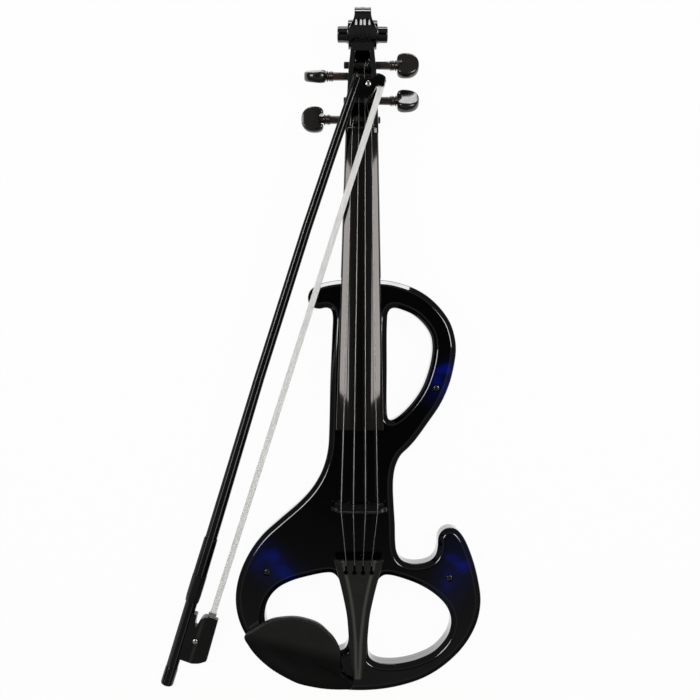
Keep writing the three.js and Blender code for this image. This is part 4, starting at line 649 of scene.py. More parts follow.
def backWells(high):
    # the room for the controls, the battery, its door and the door's hinge
    c, b = control, bay
    x, y = c['switchX'], c['y']
    slot = c['slotHalf'] + c['room']
    halfDoor = b['doorHalf'] + b['doorSide']
    doorLow, doorHigh = b['doorLow'] - b['doorSide'], b['doorHigh'] + b['doorEnd']
    return [
        volumeBar(-overrun, c['wellDepth'], c['wellRadius'], 72),
        volumeBar(-overrun, high, c['shaft'], 32),
        prism(roundedBox(c['switchHalfX'], c['switchHalfY'], c['switchRound'], 5, x, y), -overrun,
              c['switchDepth']),
        box((x - slot, x + slot + c['travel']), around(y, slot), (-overrun, high)),
        box(around(0, b['halfX']), (b['low'], b['high']), (-overrun, high)),
        prism(roundedBox(halfDoor, (doorHigh - doorLow) / 2, b['doorRound'], 4, 0,
                         (doorLow + doorHigh) / 2), -overrun, b['ceiling']),
        hingeBar(halfDoor, b['hingeRadius'] + b['hingeRoom'], 24)]


def hingeBar(half, radius, sides):
    b = bay
    return rod((-half, b['hingeY'], b['hingeZ']), (half, b['hingeY'], b['hingeZ']), radius, sides)


def makeBackShell():
    s, c = screws, control
    parting = body['parting'] - body['seam'] / 2
    under, innerUnder = ([(run, body['thickness'] - z) for run, z in body[key]]
                         for key in ('edge', 'hollowEdge'))
    floor, openings = hollowForm(parting, innerUnder)
    low, high = -overrun, s['backHigh']
    holders = posts(frontScrewPlaces, s['radius'] + s['post'], low, high)
    holders += fixings('head', s['post'], low, high)
    hollow = carved('backHollow', floor, cut=openings + [
        together(*holders), fromWall(*jack['seat']), *backWalls()])
    boardPosts = posts([Vector(place) for place in c['boardPosts']], c['boardPostRadius'],
                       *c['boardPostSpan'], 24)
    room = s['clearance']
    bores = posts(frontScrewPlaces, s['radius'] + room, s['backLow'], high)
    through = fixings('shaft', room, low, high)
    heads = posts(longScrewPlaces, s['headRadius'] + room, low,
                  s['sink'] + s['headHeight'] + room, 40)
    heads += posts(neckBoltPlaces, s['boltHeadRadius'] + room, low,
                   s['boltSink'] + s['boltHeadHeight'] + room, 40)
    return carved('back_body_shell', shellForm(parting, under), added=boardPosts,
                  cut=openingCutters(parting, under)
                  + [hollow, together(*bores), together(*through), together(*heads)]
                  + backWells(high) + jackCutters())


# Neck with its pegbox and scroll

board = {
    'end': 67.05, 'nut': 323.05, 'nutWidth': 27.3, 'endWidth': 40.6, 'topAtNut': 33,
    'topAtEnd': 48, 'edge': 5, 'arch': 42, 'round': 0.9,
}
neck = {
    'start': 198.2, 'end': 329.65, 'thickness': 13.5, 'heelHalf': 17.5, 'nutHalf': 14.3,
    'heelDrop': 15.6, 'tongueHalf': 12.5, 'tongueLow': 145.9, 'facets': 40,
    'heel': [[0, 1], [0.055, 0.96], [0.12, 0.7], [0.19, 0.4], [0.28, 0.14], [0.4, 0], [1, 0]],
    # pegbox: share of its length, of its half width, of its top level twice, squareness
    'pegbox': [[0, 1, 1, 0.37, 2.5], [0.148, 0.972, 0.987, 0.22, 4.6],
               [0.414, 0.91, 0.955, 0.15, 5], [0.68, 0.847, 0.923, 0.15, 5],
               [0.867, 0.75, 0.9, 0.2, 4.6], [1, 0.688, 0.884, 0.242, 4]],
    'nutBack': 328.65, 'pegboxLength': 75, 'pegboxHalf': 14.4, 'pegboxTop': 31,
    'boxWall': 4.6, 'boxFloor': 4.2, 'rim': 0.8, 'boreRadius': 3.95, 'boreReach': 20,
    'boltBore': (23, 30.8),
    # the peg channel, by mm from the nut: a ramp, a floor, and a steep end before the scroll
    'channel': [[0, 1], [1, 1], [1.3, 0.84], [4, 0.06], [5.5, 0], [65.2, 0], [66.6, 0.35],
                [67.4, 0.97], [67.6, 1], [80, 1]],
    'extraCuts': (1, 1.3, 2, 3, 4, 5.5, 65.2, 65.9, 66.6, 67, 67.4, 67.6, 68),
}
scroll = {
    'eye': [(1, 1.6), (0.95, 0.6), (0.82, 0.12), (0.6, 0)],
    'y': 412.65, 'z': 19.2, 'radius': 22.755, 'start': 216, 'steps': 60, 'flute': 1.1,
    'fluteReach': 8.2,
    'turn': [[216, 0.926], [242, 0.836], [270, 0.798], [301, 0.815], [330, 0.885], [355, 0.969],
             [375, 1.022], [394, 1.009], [414, 0.926], [434, 0.799], [460, 0.655],
             [490, 0.585], [560, 0.563], [720, 0.555], [810, 0.47], [880, 0.38], [936, 0.3114]],
    'halfWidth': [[216, 9.7], [262, 8.3], [305, 7.3], [412, 7.3], [428, 8.6], [447, 11.9],
                  [480, 12.4], [720, 12.7], [850, 13.8], [936, 14.2]],
    'eyeRadius': 7.1, 'eyeHalf': 22.3, 'round': 0.7,
}

def archDrop(across, radius):
    return radius - sqrt(radius * radius - across * across)


def boardShare(y):
    return (board['nut'] - y) / (board['nut'] - board['end'])


def boardTop(y):
    return mix(board['topAtNut'], board['topAtEnd'], boardShare(y))


def boardHalf(y):
    return mix(board['nutWidth'], board['endWidth'], boardShare(y)) / 2


boardUnders = [top - archDrop(width / 2, board['arch']) - board['edge'] for top, width in
               ((board['topAtNut'], board['nutWidth']), (board['topAtEnd'], board['endWidth']))]


def boardUnder(y):
    return mix(*boardUnders, boardShare(y))


def boardSection(y, shrink=0, at=None):
    half = boardHalf(y) - shrink
    corner = board['round']

    def arch(across):
        return boardTop(y) - shrink - archDrop(across, board['arch'])

    side = arch(half)
    right = [(half - 0.5, boardUnder(y) + shrink / 2), (half - 0.14, boardUnder(y) + 0.14),
             (half, boardUnder(y) + 0.5), (half, side - corner),
             (half - 0.13 * corner, side - 0.45 * corner), (half - 0.45 * corner,
                                                            arch(half - 0.45 * corner) - 0.1)]
    ring = right + [(across, arch(across)) for across in
                    [(half - corner) * (1 - i / 24) for i in range(24)]]
    ring += [(0, arch(0))]
    ring += [(-x, z) for x, z in ring[-2::-1]]
    return [Vector((x, y if at is None else at, z)) for x, z in ring]


def makeFingerboard():
    low, high = board['end'], board['nut']
    rings = [boardSection(low, 0.9, low), boardSection(low, 0.4, low + 0.12),
             boardSection(low, 0.12, low + 0.4), boardSection(low + 0.9)]
    rings += [boardSection(mix(low, high, i / 12)) for i in range(1, 12)]
    rings += [boardSection(high - 0.3), boardSection(high, 0.25)]
    return rawPiece('arched_fingerboard', skin(rings))


def neckTop(y):
    return boardUnder(y) - 0.3


def neckSection(share):
    y = mix(neck['start'], neck['end'], share)
    half = mix(neck['heelHalf'], neck['nutHalf'], share)
    top = neckTop(y)
    bottom = top - neck['thickness'] - flowing(neck['heel'], share)[0] * neck['heelDrop']
    ring = []
    for i in range(neck['facets'] + 1):
        angle = pi * i / neck['facets']
        ring.append(Vector((-half * cos(angle), y, top - 1 - (top - 1 - bottom) * sin(angle))))
    return ring + [Vector((half - 0.2, y, top)), Vector((-half + 0.2, y, top))]


def channelFloor(y, top, bottom):
    share = stepped(neck['channel'], y - neck['nutBack'])[0]
    return mix(bottom + neck['boxFloor'], top, share)


def pegboxSection(along):
    width, topShare, lowShare, square = flowing(neck['pegbox'], along)
    y = neck['nutBack'] + along * neck['pegboxLength']
    half = width * neck['pegboxHalf']
    top, bottom = topShare * neck['pegboxTop'], lowShare * neck['pegboxTop']
    inner = half - neck['boxWall']
    floor = channelFloor(y, top, bottom)
    rim = min(neck['rim'], (top - floor) / 2)
    right = []
    facets = 22
    for i in range(facets + 1):
        angle = pi / 2 * (i / facets)
        right.append((half * cos(angle) ** (2 / square),
                      top - neck['rim'] - (top - neck['rim'] - bottom) * sin(angle)
                      ** (2 / square)))
    edge = [(half - neck['rim'] * 0.3, top - neck['rim'] * 0.3), (half - neck['rim'], top)]
    wall = [(inner + rim, top), (inner + rim * 0.3, top - rim * 0.3), (inner, top - rim)]
    wall += [(inner, mix(top - rim, floor, 0.5)), (inner, floor + rim * 0.9),
             (inner - rim * 0.3, floor + rim * 0.3), (inner - rim, floor)]
    rightRing = wall[::-1] + edge[::-1] + right
    leftRing = [(-x, z) for x, z in rightRing[-2::-1]]
    return [Vector((x, y, z)) for x, z in rightRing + leftRing]


def scrollForm():
    # two turns of a spiral wall that steps outwards to the eyes, its back fluted
    steps, s = scroll['steps'], scroll
    points, faces, index = [], [], {}

    def corner(angle, radius, across):
        turn = radians(angle)
        key = (round(angle % 360, 4), round(radius, 4), round(across, 4))
        if abs(across) < 1e-6:
            key = key[:2] + (0,)
        if key not in index:
            index[key] = len(points)
            points.append(Vector((across, s['y'] + radius * cos(turn),
                                  s['z'] + radius * sin(turn))))
        return index[key]

    def face(*corners):
        kept = [a for a, b in zip(corners, corners[1:] + corners[:1]) if a != b]
        if len(kept) > 2:
            faces.append(kept)

    def shape(j):
        angle = s['start'] + 360 * j / steps
        radius = flowing(s['turn'], angle)[0] * s['radius']
        half = flowing(s['halfWidth'], angle)[0]
        return angle, max(radius, s['eyeRadius']), half

    def column(j, side):
        angle, radius, half = shape(j)
        lip = min(s['round'], (radius - s['eyeRadius']) * 0.9)
        rows = [(radius - lip, half), (radius - lip * 0.3, half - lip * 0.3),
                (radius, half - lip)]
        if j < steps:
            # two flutes: faint round the back and the cap, deeper down the face
            depth = s['flute'] * (0.3 * eased((angle - 250) / 60)
                                  + 0.7 * eased((angle - 408) / 26)) * eased((566 - angle) / 60)
            for k in range(1, 13):
                across = (half - lip) * (1 - k / 12)
                share = min(across / s['fluteReach'], 1)
                rows.append((radius - depth * sin(pi * share ** 0.85) ** 2, across))
        else:
            rows.append((radius, shape(j - steps)[2]))
            if j == steps:
                rows.append((radius, 0))
        return [corner(angle, r, side * x) for r, x in rows]

    eyeProfile = [(s['eyeRadius'] * share, s['eyeHalf'] - drop) for share, drop in s['eye']]
    for side in (1, -1):
        columns = [column(j, side) for j in range(2 * steps + 1)]
        base = {j: corner(shape(j)[0], s['eyeRadius'], side * shape(j)[2])
                for j in range(steps, 2 * steps + 1)}
        for j in range(steps - 1):
            for a, b, c, d in zip(columns[j], columns[j + 1], columns[j + 1][1:], columns[j][1:]):
                face(a, b, c, d)
        last, first = columns[steps - 1], columns[steps]
        face(last[0], first[0], first[1], last[1])
        face(last[1], first[1], first[2], last[2])
        face(*last[2:], *first[:1:-1])
        for j in range(steps, 2 * steps):
            low, high = columns[j][:4], columns[j + 1][:4]
            for a, b, c, d in zip(low, high, high[1:], low[1:]):
                face(a, b, c, d)
        for j in range(steps):
            face(columns[j][0], columns[j + 1][0], columns[j + 1 + steps][3],
                 columns[j + steps][3])
        for j in range(steps, 2 * steps):
            face(columns[j][0], columns[j + 1][0], base[j + 1], base[j])
        face(first[4], *columns[0][::-1], first[3])
        rings = [[corner(shape(j)[0], r, side * x) for j in range(steps, 2 * steps)]
                 for r, x in eyeProfile]
        for j in range(steps):
            low = [base[steps + j], base[steps + j + 1]]
            high = [rings[0][(j + 1) % steps], rings[0][j]]
            face(*low, *high, *([base[2 * steps]] if j == 0 else []))
        for low, high in zip(rings, rings[1:]):
            for j in range(steps):
                face(low[j], low[(j + 1) % steps], high[(j + 1) % steps], high[j])
        face(*rings[-1])
    return points, faces


def facedOutwards(form):
    # one closed form whose faces were laid in any direction
    mesh = bpy.data.meshes.new('faced')
    mesh.from_pydata(form[0], [], form[1])
    sheet = bmesh.new()
    sheet.from_mesh(mesh)
    bmesh.ops.recalc_face_normals(sheet, faces=sheet.faces)
    sheet.to_mesh(mesh)
    sheet.free()
    result = [v.co.copy() for v in mesh.vertices], [list(p.vertices) for p in mesh.polygons]
    bpy.data.meshes.remove(mesh)
    return outward(*result)


strings = [
    {'name': 'g', 'order': -1.5, 'side': -1, 'y': 337.575, 'z': 19.53, 'head': 33.7,
     'turn': 0, 'coil': -7.2, 'way': 1, 'radius': 0.4},
    {'name': 'd', 'order': -0.5, 'side': -1, 'y': 376.125, 'z': 17.98, 'head': 31.68,
     'turn': -69, 'coil': -2.88, 'way': -1, 'radius': 0.355},
    {'name': 'a', 'order': 0.5, 'side': 1, 'y': 386.175, 'z': 17.36, 'head': 30.53,
     'turn': -18, 'coil': 1.73, 'way': 1, 'radius': 0.34},
    {'name': 'e', 'order': 1.5, 'side': 1, 'y': 354.675, 'z': 18.91, 'head': 30.67,
     'turn': -35, 'coil': 2.88, 'way': 1, 'radius': 0.28},
]
route = {
    'nutHeight': 33.9, 'bridgeHeight': 57, 'nutSpacing': 5.6, 'bridgeSpacing': 10.3,
    'tailSpacing': 7.3, 'arch': 48, 'nutFront': 323.35, 'nutBack': 328.65,
    'ridge': 47.5, 'tail': -44, 'slot': -47.4, 'bend': 0.4, 'drop': 0.8, 'end': 42.3,
    'coilTop': 5.35, 'groove': 0.62, 'bridgeGroove': 0.6,
}


def makeNeck():
    n = neck
    shaft = skin([neckSection(i / 40) for i in range(41)])
    low, high = n['tongueLow'], n['start'] + 0.7
    tongue = prismX([Vector((low, faceLevel)), Vector((high, faceLevel)),
                     Vector((high, neckTop(high))), Vector((low, neckTop(low)))],
                    *around(0, n['tongueHalf']))
    places = sorted({i / 30 for i in range(31)} | {a / n['pegboxLength'] for a in n['extraCuts']})
    pegbox = skin([pegboxSection(share) for share in places])
    reach = n['boreReach']
    bores = [rod((-reach, s['y'], s['z']), (reach, s['y'], s['z']), n['boreRadius'], 40)
             for s in strings]
    bolts = posts(neckBoltPlaces, screws['boltRadius'] + screws['clearance'], *n['boltBore'])
    return carved('carved_neck', shaft, added=[tongue, pegbox, facedOutwards(scrollForm())],
                  cut=bores + [together(*bolts)])


def stringHeight(base, across):
    return base - archDrop(across, route['arch'])


def stringPath(s):
    # from over the winding to the nut, the bridge, the tailpiece's ridge and down its slot
    r = route
    nutX, bridgeX, tailX = (s['order'] * r[key] for key in ('nutSpacing', 'bridgeSpacing',
                                                            'tailSpacing'))
    nutZ = stringHeight(r['nutHeight'], nutX)
    return [Vector(p) for p in (
        (s['coil'], s['y'], s['z'] + r['coilTop']), (nutX, r['nutBack'], nutZ),
        (nutX, r['nutFront'], nutZ), (bridgeX, 0, stringHeight(r['bridgeHeight'], bridgeX)),
        (tailX, r['tail'], r['ridge']), (tailX, r['slot'] + r['bend'], r['ridge']),
        (tailX, r['slot'] - r['bend'], r['ridge'] - r['drop']),
        (tailX, r['slot'] - r['bend'], r['end']))]


nut = {
    'half': 14.3, 'corner': 0.4, 'facets': 32, 'endShare': 0.93, 'endDrop': 0.7,
    # how far behind the front, and in front of the back, and how far each ring is drawn in
    'front': [(0, 0.5), (0.15, 0.15), (0.5, 0)], 'back': [(0.95, 0), (0.15, 0.6), (0, 0.9)],
}


def makeNut():
    half, corner, facets = nut['half'], nut['corner'], nut['facets']
    low, high = route['nutFront'], route['nutBack'] - 0.3
    under = boardUnder(low)

    def section(y, shrink):
        ring = [(-half + corner, under), (half - corner, under), (half, under + corner)]
        for i in range(facets + 1):
            share = 1 - 2 * i / facets
            drop = nut['endDrop'] * max(0, abs(share) - nut['endShare']) / (1 - nut['endShare'])
            across = (half - shrink) * share
            ring.append((across, stringHeight(route['nutHeight'] - shrink, across) - drop))
        return [Vector((x, y, z)) for x, z in ring + [(-half, under + corner)]]

    rings = [section(low + run, shrink) for run, shrink in nut['front']]
    rings += [section(high - run, shrink) for run, shrink in nut['back']]
    grooves = [tube(stringPath(s)[:4], route['groove'], 16) for s in strings]
    return carved('grooved_nut', skin(rings), cut=grooves)


bridge = {
    'halfWidth': 23.8, 'foot': faceLevel, 'top': 57, 'low': 4.4, 'high': 1.8, 'round': 1.6,
    'edge': 0.45, 'slopeStart': 0.25, 'heart': 3, 'heartLevel': 44.3,
    'outline': [[0, 0.27], [0.2, 0.245], [0.35, 0.12], [0.37, 0], [0.87, 0], [0.89, 0.07],
                [0.74, 0.14], [0.69, 0.25], [0.8, 0.38], [0.98, 0.5], [1, 0.6], [0.87, 0.66],
                [0.8, 0.76], [0.8, 0.875], [0.72, 0.903], [0.5, 0.953], [0.25, 0.988], [0, 1]],
}


def makeBridge():
    b = bridge
    tall, edge = b['top'] - b['foot'], b['edge']
    right = [Vector((x * b['halfWidth'], b['foot'] + z * tall)) for x, z in b['outline']]
    fine = softened(right + [Vector((-p.x, p.y)) for p in right[-2:0:-1]], b['round'], 4, 2.2)

    def layer(side, run):
        # the back is plain; the front leans back towards the top
        points = []
        for p in inset(fine if loopArea(fine) > 0 else fine[::-1], run):
            up = (p.y - b['foot'] - tall * b['slopeStart']) / (tall * (1 - b['slopeStart']))
            front = b['low'] / 2 - (b['low'] - b['high']) * min(max(up, 0), 1)
            y = front if side > 0 else -b['low'] / 2
            points.append(Vector((p.x, y - side * (edge - run if run < edge else 0), p.y)))
        return points

    form = skin([layer(-1, edge), layer(-1, 0.12), layer(-1, 0), layer(1, 0), layer(1, 0.12),
                 layer(1, edge)])
    heart = rod((0, -5, b['heartLevel']), (0, 5, b['heartLevel']), b['heart'], 40)
    grooves = [tube(stringPath(s)[2:5], route['bridgeGroove'], 16) for s in strings]
    return carved('arched_bridge', form, cut=[heart] + grooves)


tail = {
    'y': -44, 'length': 105.1, 'half': 21.2, 'top': 46, 'endTop': 33, 'plate': 3.4,
    'skirt': 6.4, 'bevelDrop': 2.8, 'hollow': 0.66, 'hollowShare': 0.52, 'edge': 0.45,
    'flat': [[0, 0.64], [0.126, 0.6], [0.209, 0.557], [0.376, 0.475], [0.542, 0.385],
             [0.709, 0.28], [1, 0.27]],
    'form': [[0, 1], [0.324, 0.605], [0.486, 0.457], [0.62, 0.4], [0.756, 0.358], [0.9, 0.31],
             [0.957, 0.25], [1, 0.16]],
    # the ridge that the strings cross, seen from the side: back from the front edge, up
    'ridge': [(0, -2), (0, 0.35), (0.15, 0.65), (0.45, 0.8), (1.75, 0.8), (2.05, 0.65),
              (2.2, 0.35), (2.2, -2)], 'ridgeShare': 0.84, 'ridgeRound': 1.5,
    'keyholeY': -54.5, 'keyholeRadius': 2.05, 'slotHalf': 0.8, 'slotSpan': (36, 50),
    'footHalf': 3.3, 'footSpan': (-149.1, -137.1), 'bore': (23, 31.8),
}


def tailSection(along, shrink=0):
    t, e = tail, tail['edge']
    y = t['y'] - along * t['length']
    half = flowing(t['form'], along)[0] * t['half'] - shrink
    top = mix(t['top'], t['endTop'], along) - shrink
    flat = half * flowing(t['flat'], along)[0]
    inner = mix(half * t['hollowShare'], half, t['hollow'])
    under = t['plate'] + t['bevelDrop'] * t['hollow'] / 2
    # the ridge between the flat and the slope is rounded
    slope = (t['bevelDrop'] - 0.55) / (half - e * 2 - flat)
    reach = min(t['ridgeRound'], flat * 0.8)
    right = [(0, 0)]
    for i in range(7):
        share = i / 6
        right.append((flat + reach * (share * 2 - 1), -slope * reach * share * share))
    drop, skirt = t['bevelDrop'], t['skirt']
    right += [(half - e * 2, 0.55 - drop), (half - e, 0.1 - drop), (half - e * 0.3, -drop - e * 0.5),
              (half, -drop - e * 1.6), (half, 0.3 - skirt), (half - 0.3, -skirt),
              (inner, -skirt), (inner, -under), (half * t['hollowShare'], -t['plate'])]
    ring = right + [(-x, z) for x, z in right[:0:-1]]
    return [Vector((x, y, top + z)) for x, z in ring]


def keyhole(x):
    # a round hole with a slot that runs to the ridge, drawn as one outline
    t = tail
    radius, half = t['keyholeRadius'], t['slotHalf']
    lead = asin(half / radius)
    loop = []
    for i in range(25):
        angle = pi / 2 + lead + (2 * pi - 2 * lead) * i / 24
        loop.append(Vector((x + radius * cos(angle), t['keyholeY'] + radius * sin(angle))))
    end = t['y'] - t['ridge'][-1][0] - half
    for i in range(9):
        angle = pi * i / 8
        loop.append(Vector((x + half * cos(angle), end + half * sin(angle) * 0.98)))
    return prism(loop, *t['slotSpan'])


def makeTailpiece():
    t = tail
    shares = [0.004, 0.012, 0.05] + [i / 24 for i in range(2, 24)] + [0.975, 0.99, 1]
    shell = skin([tailSection(0, 0.35)] + [tailSection(a) for a in shares])
    ridge = prismX([Vector((t['y'] - back, t['top'] + up)) for back, up in t['ridge']],
                   *around(0, t['half'] * t['ridgeShare']))
    foot = box(around(0, t['footHalf']), t['footSpan'], (faceLevel, t['endTop']))
    holes = [keyhole(s['order'] * route['tailSpacing']) for s in strings]
    bore = posts([Vector(body['tailScrew'])], screwBore, *t['bore'], 24)
    return carved('fluted_tailpiece', shell, added=[ridge, foot], cut=holes + bore)


chinRest = {
    'floor': 26.6, 'low': 34, 'high': 39.64, 'edge': 2.2, 'undercut': 4, 'steps': 150,
    'dish': [-0.525, 0.1], 'dishDeep': 3.4, 'dishShare': 0.8, 'foot': 5.4, 'footTop': 29,
    'bore': (23, 30.8),
    # shares of the edge: how far in, how far down; then mm that the dish's rings are in
    'rim': [(0, 1), (0.06, 0.6), (0.25, 0.25), (0.6, 0.05), (1, 0)],
    'dishRuns': (3, 4.5, 6.5, 9, 12, 16, 20, 24, 27.5),
    'outline': [
        [-0.913, 0.142], [-0.817, 0.164], [-0.705, 0.183], [-0.595, 0.189], [-0.509, 0.19],
        [-0.426, 0.186], [-0.314, 0.174], [-0.239, 0.155], [-0.189, 0.139], [-0.145, 0.114],
        [-0.136, 0.089], [-0.13, 0.06], [-0.112, 0.048], [-0.075, 0.041], [-0.039, 0.032],
        [-0.033, 0.023], [-0.052, 0.015], [-0.102, 0.013], [-0.254, 0.014], [-0.366, 0.019],
        [-0.478, 0.027], [-0.59, 0.043], [-0.703, 0.064], [-0.815, 0.094], [-0.883, 0.121],
    ],
}


def makeChinRest():
    c = chinRest
    loop = within(smoothLoop([onBody(s) for s in c['outline']], c['steps']), 'chin_rest')
    lowY, highY = min(p.y for p in loop), max(p.y for p in loop)
    centre = onBody(c['dish'])
    mean = sum((p - centre).length for p in loop) / len(loop)
    floor, edge = c['floor'], c['edge']

    def ring(run, level):
        return [Vector((*p.lerp(centre, run / mean), level((p.y - lowY) / (highY - lowY))))
                for p in loop]

    def top(up):
        return mix(c['low'], c['high'], up)

    rings = [ring(c['undercut'], lambda up: floor),
             ring(c['undercut'] * 0.6, lambda up: floor + 0.25),
             ring(edge / 4, lambda up: mix(floor, top(up), 0.35))]
    rings += [ring(edge * run, lambda up, drop=drop: top(up) - edge * drop)
              for run, drop in c['rim']]
    # the dish falls away from the rim towards the middle
    for run in c['dishRuns']:
        share = (run - edge) / (mean - edge)
        depth = c['dishDeep'] * (1 - (1 - eased(share * 1.25)) ** 1.3)
        rings.append(ring(run, lambda up, depth=depth, run=run:
                          top(mix(up, 0.5, run / mean)) - depth * c['dishShare']))
    rings.append([sum(rings[-1], Vector()) / len(rings[-1])])
    feet = posts(chinScrewPlaces, c['foot'], faceLevel, c['footTop'], 40)
    bores = posts(chinScrewPlaces, screwBore, *c['bore'], 24)
    return carved('dished_chin_rest', skin(rings), added=[together(*feet)],
                  cut=[together(*bores)])


# Pegs

peg = {
    'tip': -16.2, 'tipRadius': 3.1, 'shaft': 3.6, 'collar': 6.4, 'headLength': 19.4,
    'halfHeight': 11.5, 'bite': 5, 'dish': 0.04, 'rim': 2.6, 'edge': 0.5, 'ringRoot': 3.7,
    'inHead': [(3.3, -0.1), (3.0, 1.2), (3.0, 8), (0, 8)],
    # the head seen face on: share of its length, of its half height, half thickness in mm
    'head': [[0, 0.66, 3.0], [0.02, 0.74, 3.9], [0.06, 0.84, 4.6], [0.14, 0.93, 4.88],
             [0.26, 0.985, 4.9], [0.42, 1, 4.7], [0.56, 0.98, 4.5], [0.69, 0.92, 4.35],
             [0.8, 0.81, 4.2], [0.885, 0.67, 4.05], [0.945, 0.51, 3.8], [0.98, 0.35, 3.3],
             [0.996, 0.2, 2.3]],
    'rings': [(0.35, 0.5, 4.5), (1.7, 0.42, 4.8), (2.9, 0.4, 4.45), (4.6, 0.75, 4.7)],
}


def pegMatrix(s):
    turn = Matrix.Rotation(radians(s['turn']), 4, 'X')
    if s['side'] < 0:
        turn = turn @ Matrix.Rotation(pi, 4, 'Z')
    return Matrix.Translation((0, s['y'], s['z'])) @ turn


def makePeg(s):
    head, p = s['head'], peg
    collar = head - p['collar']
    tip, edge = p['tip'], p['edge']
    rows = [[0, tip], [p['tipRadius'] - edge, tip], [p['tipRadius'], tip + edge],
            [p['shaft'], collar]]
    for start, half, radius in p['rings']:
        for i in range(7):
            angle = pi * i / 6
            rows.append([mix(p['ringRoot'], radius, max(sin(angle), 0) ** 0.6),
                         collar + start + half * (1 - cos(angle))])
    rows += [[radius, head + along] for radius, along in p['inHead']]
    shaft = turned(rows, way=(1, 0, 0), sides=40)
    rings = []
    for a, b, thick in p['head']:
        half = b * p['halfHeight']
        ring = []
        sides = 64
        rim = min(p['rim'], half * 0.6)
        for i in range(sides):
            # even steps round a slab with round ends
            angle = 2 * pi * i / sides
            up, out = sin(angle), cos(angle)
            if abs(up) < 0.85:
                y = (half - rim) * up / 0.85
                lift = 1 - (y / (half - rim * 0.7)) ** 2
                z = thick - p['dish'] * b * lift * min(1, a / 0.12) * min(1, (1 - a) / 0.15)
            else:
                turn = (abs(up) - 0.85) / 0.15
                y = (half - rim + rim * sin(pi / 2 * turn)) * (1 if up > 0 else -1)
                z = thick * max(cos(pi / 2 * turn), 0) ** 0.8
            ring.append(Vector((head + a * p['headLength'], y, z if out >= 0 else -z)))
        rings.append(ring)
    rings.append([Vector((head + p['headLength'], 0, 0))])
    bite = rod((head - 0.6, 0, -8), (head - 0.6, 0, 8), p['bite'], 48)
    piece = carved('turned_peg_' + s['name'], skin(rings), cut=[bite])
    carved(piece.name, piece, added=[shaft])
    place = pegMatrix(s)
    place.translation *= toMetres
    piece.data.transform(place)
    return piece


# Bow, in its own frame: x across towards the hair, y along the stick, z up

bow = {
    'buttX': -169.3, 'buttY': -160.5, 'buttZ': 6.2, 'crossing': 57.25, 'gap': 0.4,
    'start': 14.2, 'end': 554, 'buttRadius': 5.2, 'tipRadius': 4.1, 'camber': 2.3,
    # share of the stick's length, of its taper, of its camber
    'stick': [[0, 0, 0], [0.25, 0.02, -0.4], [0.5, 0.65, -1], [0.75, 0.85, -0.75],
              [0.88, 0.95, -0.05], [0.955, 1, 0.45], [1, 1, 0.8]],
    'headLength': 25, 'headBack': 0.64, 'headReach': 26.4, 'headHalf': 3.5,
    'head': [[0, 0], [0.64, -0.06], [0.67, -0.02], [0.66, 0.14], [0.69, 0.34], [0.78, 0.52],
             [0.91, 0.61], [1, 0.71], [1, 0.82], [0.94, 0.94], [0.62, 0.97], [0.6, 0.73],
             [0.24, 0.69], [0.06, 0.42], [0, 0.16]],
    'frogStart': 23.4, 'frogEnd': 67.6, 'frogReach': 27.9, 'frogHalf': 5.6,
    'frog': [[0, 0.11], [0, 0.6], [0.03, 0.79], [0.11, 1], [1, 0.96], [0.99, 0.52],
             [0.94, 0.44], [0.86, 0.4], [0.78, 0.39], [0.74, 0.355], [0.76, 0.315],
             [0.86, 0.29], [0.985, 0.28], [0.985, 0.11]],
    'frogRidge': [[2, 0.78], [13.6, 0.985], [14.3, 1], [15, 0.985], [28, 0.5]],
    'hairHalf': 2.6, 'hairThick': 2.4, 'hairOffset': 20.6, 'hairHeadOffset': 23, 'hairEnd': 560,
    'hairTuck': 16, 'mortiseHalf': 1.5, 'room': 0.3,
    # a sleeve's place along the stick, and how much stouter it is there
    'grip': [[76, 0.5], [76.4, 0.75], [80.5, 1.0], [82, 1.12], [100.7, 1.12], [101.1, 0.95],
             [101.5, 0.6]], 'gripInside': (74, 104),
    'lapping': [[101.8, 0.95], [134.5, 0.72], [134.9, 0.62], [135.3, 0.42]], 'lappingInside': (99, 138),
    # the end screw: shares of the knob's radius and mm from its end; its thin shaft follows
    'knob': [[0, 0], [0.5, 0.1], [0.75, 0.5], [0.93, 1.3], [1, 2.4], [1, 5.2], [0.94, 5.5],
             [0.94, 6.1], [1, 6.4], [1, 16.6], [0.93, 17.6], [0.8, 18]],
    'knobRadius': 5.7, 'screwRadius': 1.6, 'screwEnd': 63.85, 'bore': 1.95, 'boreLength': 50,
    # the eyelet: where it is, half its width, how far it can travel to each side
    'eyeAlong': 44.2, 'eyeHalf': 2.95, 'eyeTravel': (9.35, 3.35), 'eyeReach': 8,
    'eyeSeat': (4.2, 11.2), 'eyeSeatHalf': 2.9,
    'frogScrewX': 13.3, 'tipScrew': (12, 551.7),
}


def bowAim():
    # the hair lies just over the bass string
    turn = atan2(-bow['buttX'], route['nutBack'] + bow['crossing'] - bow['buttY'])
    nut, bridgeTop = stringPath(strings[0])[2:4]
    along = Vector((sin(turn), cos(turn)))
    across = Vector((along.y, -along.x))
    start = Vector((bow['buttX'], bow['buttY'])) + across * (bow['hairHeadOffset']
                                                             + bow['hairHalf'])
    way = Vector((nut.x - bridgeTop.x, nut.y - bridgeTop.y))

    def cross(a, b):
        return a.x * b.y - a.y * b.x

    reach = cross(Vector(bridgeTop[:2]) - start, way) / cross(along, way)
    share = (start.y + along.y * reach - bridgeTop.y) / way.y
    hairLevel = (mix(bridgeTop.z, nut.z, share) + strings[0]['radius'] + bow['gap']
                 + bow['hairThick'] / 2)
    return turn, asin((hairLevel - bow['buttZ']) / reach)


bowTurn, bowTilt = bowAim()
bowFrame = (Matrix.Translation((bow['buttX'], bow['buttY'], bow['buttZ']))
            @ Matrix.Rotation(-bowTurn, 4, 'Z') @ Matrix.Rotation(bowTilt, 4, 'X'))


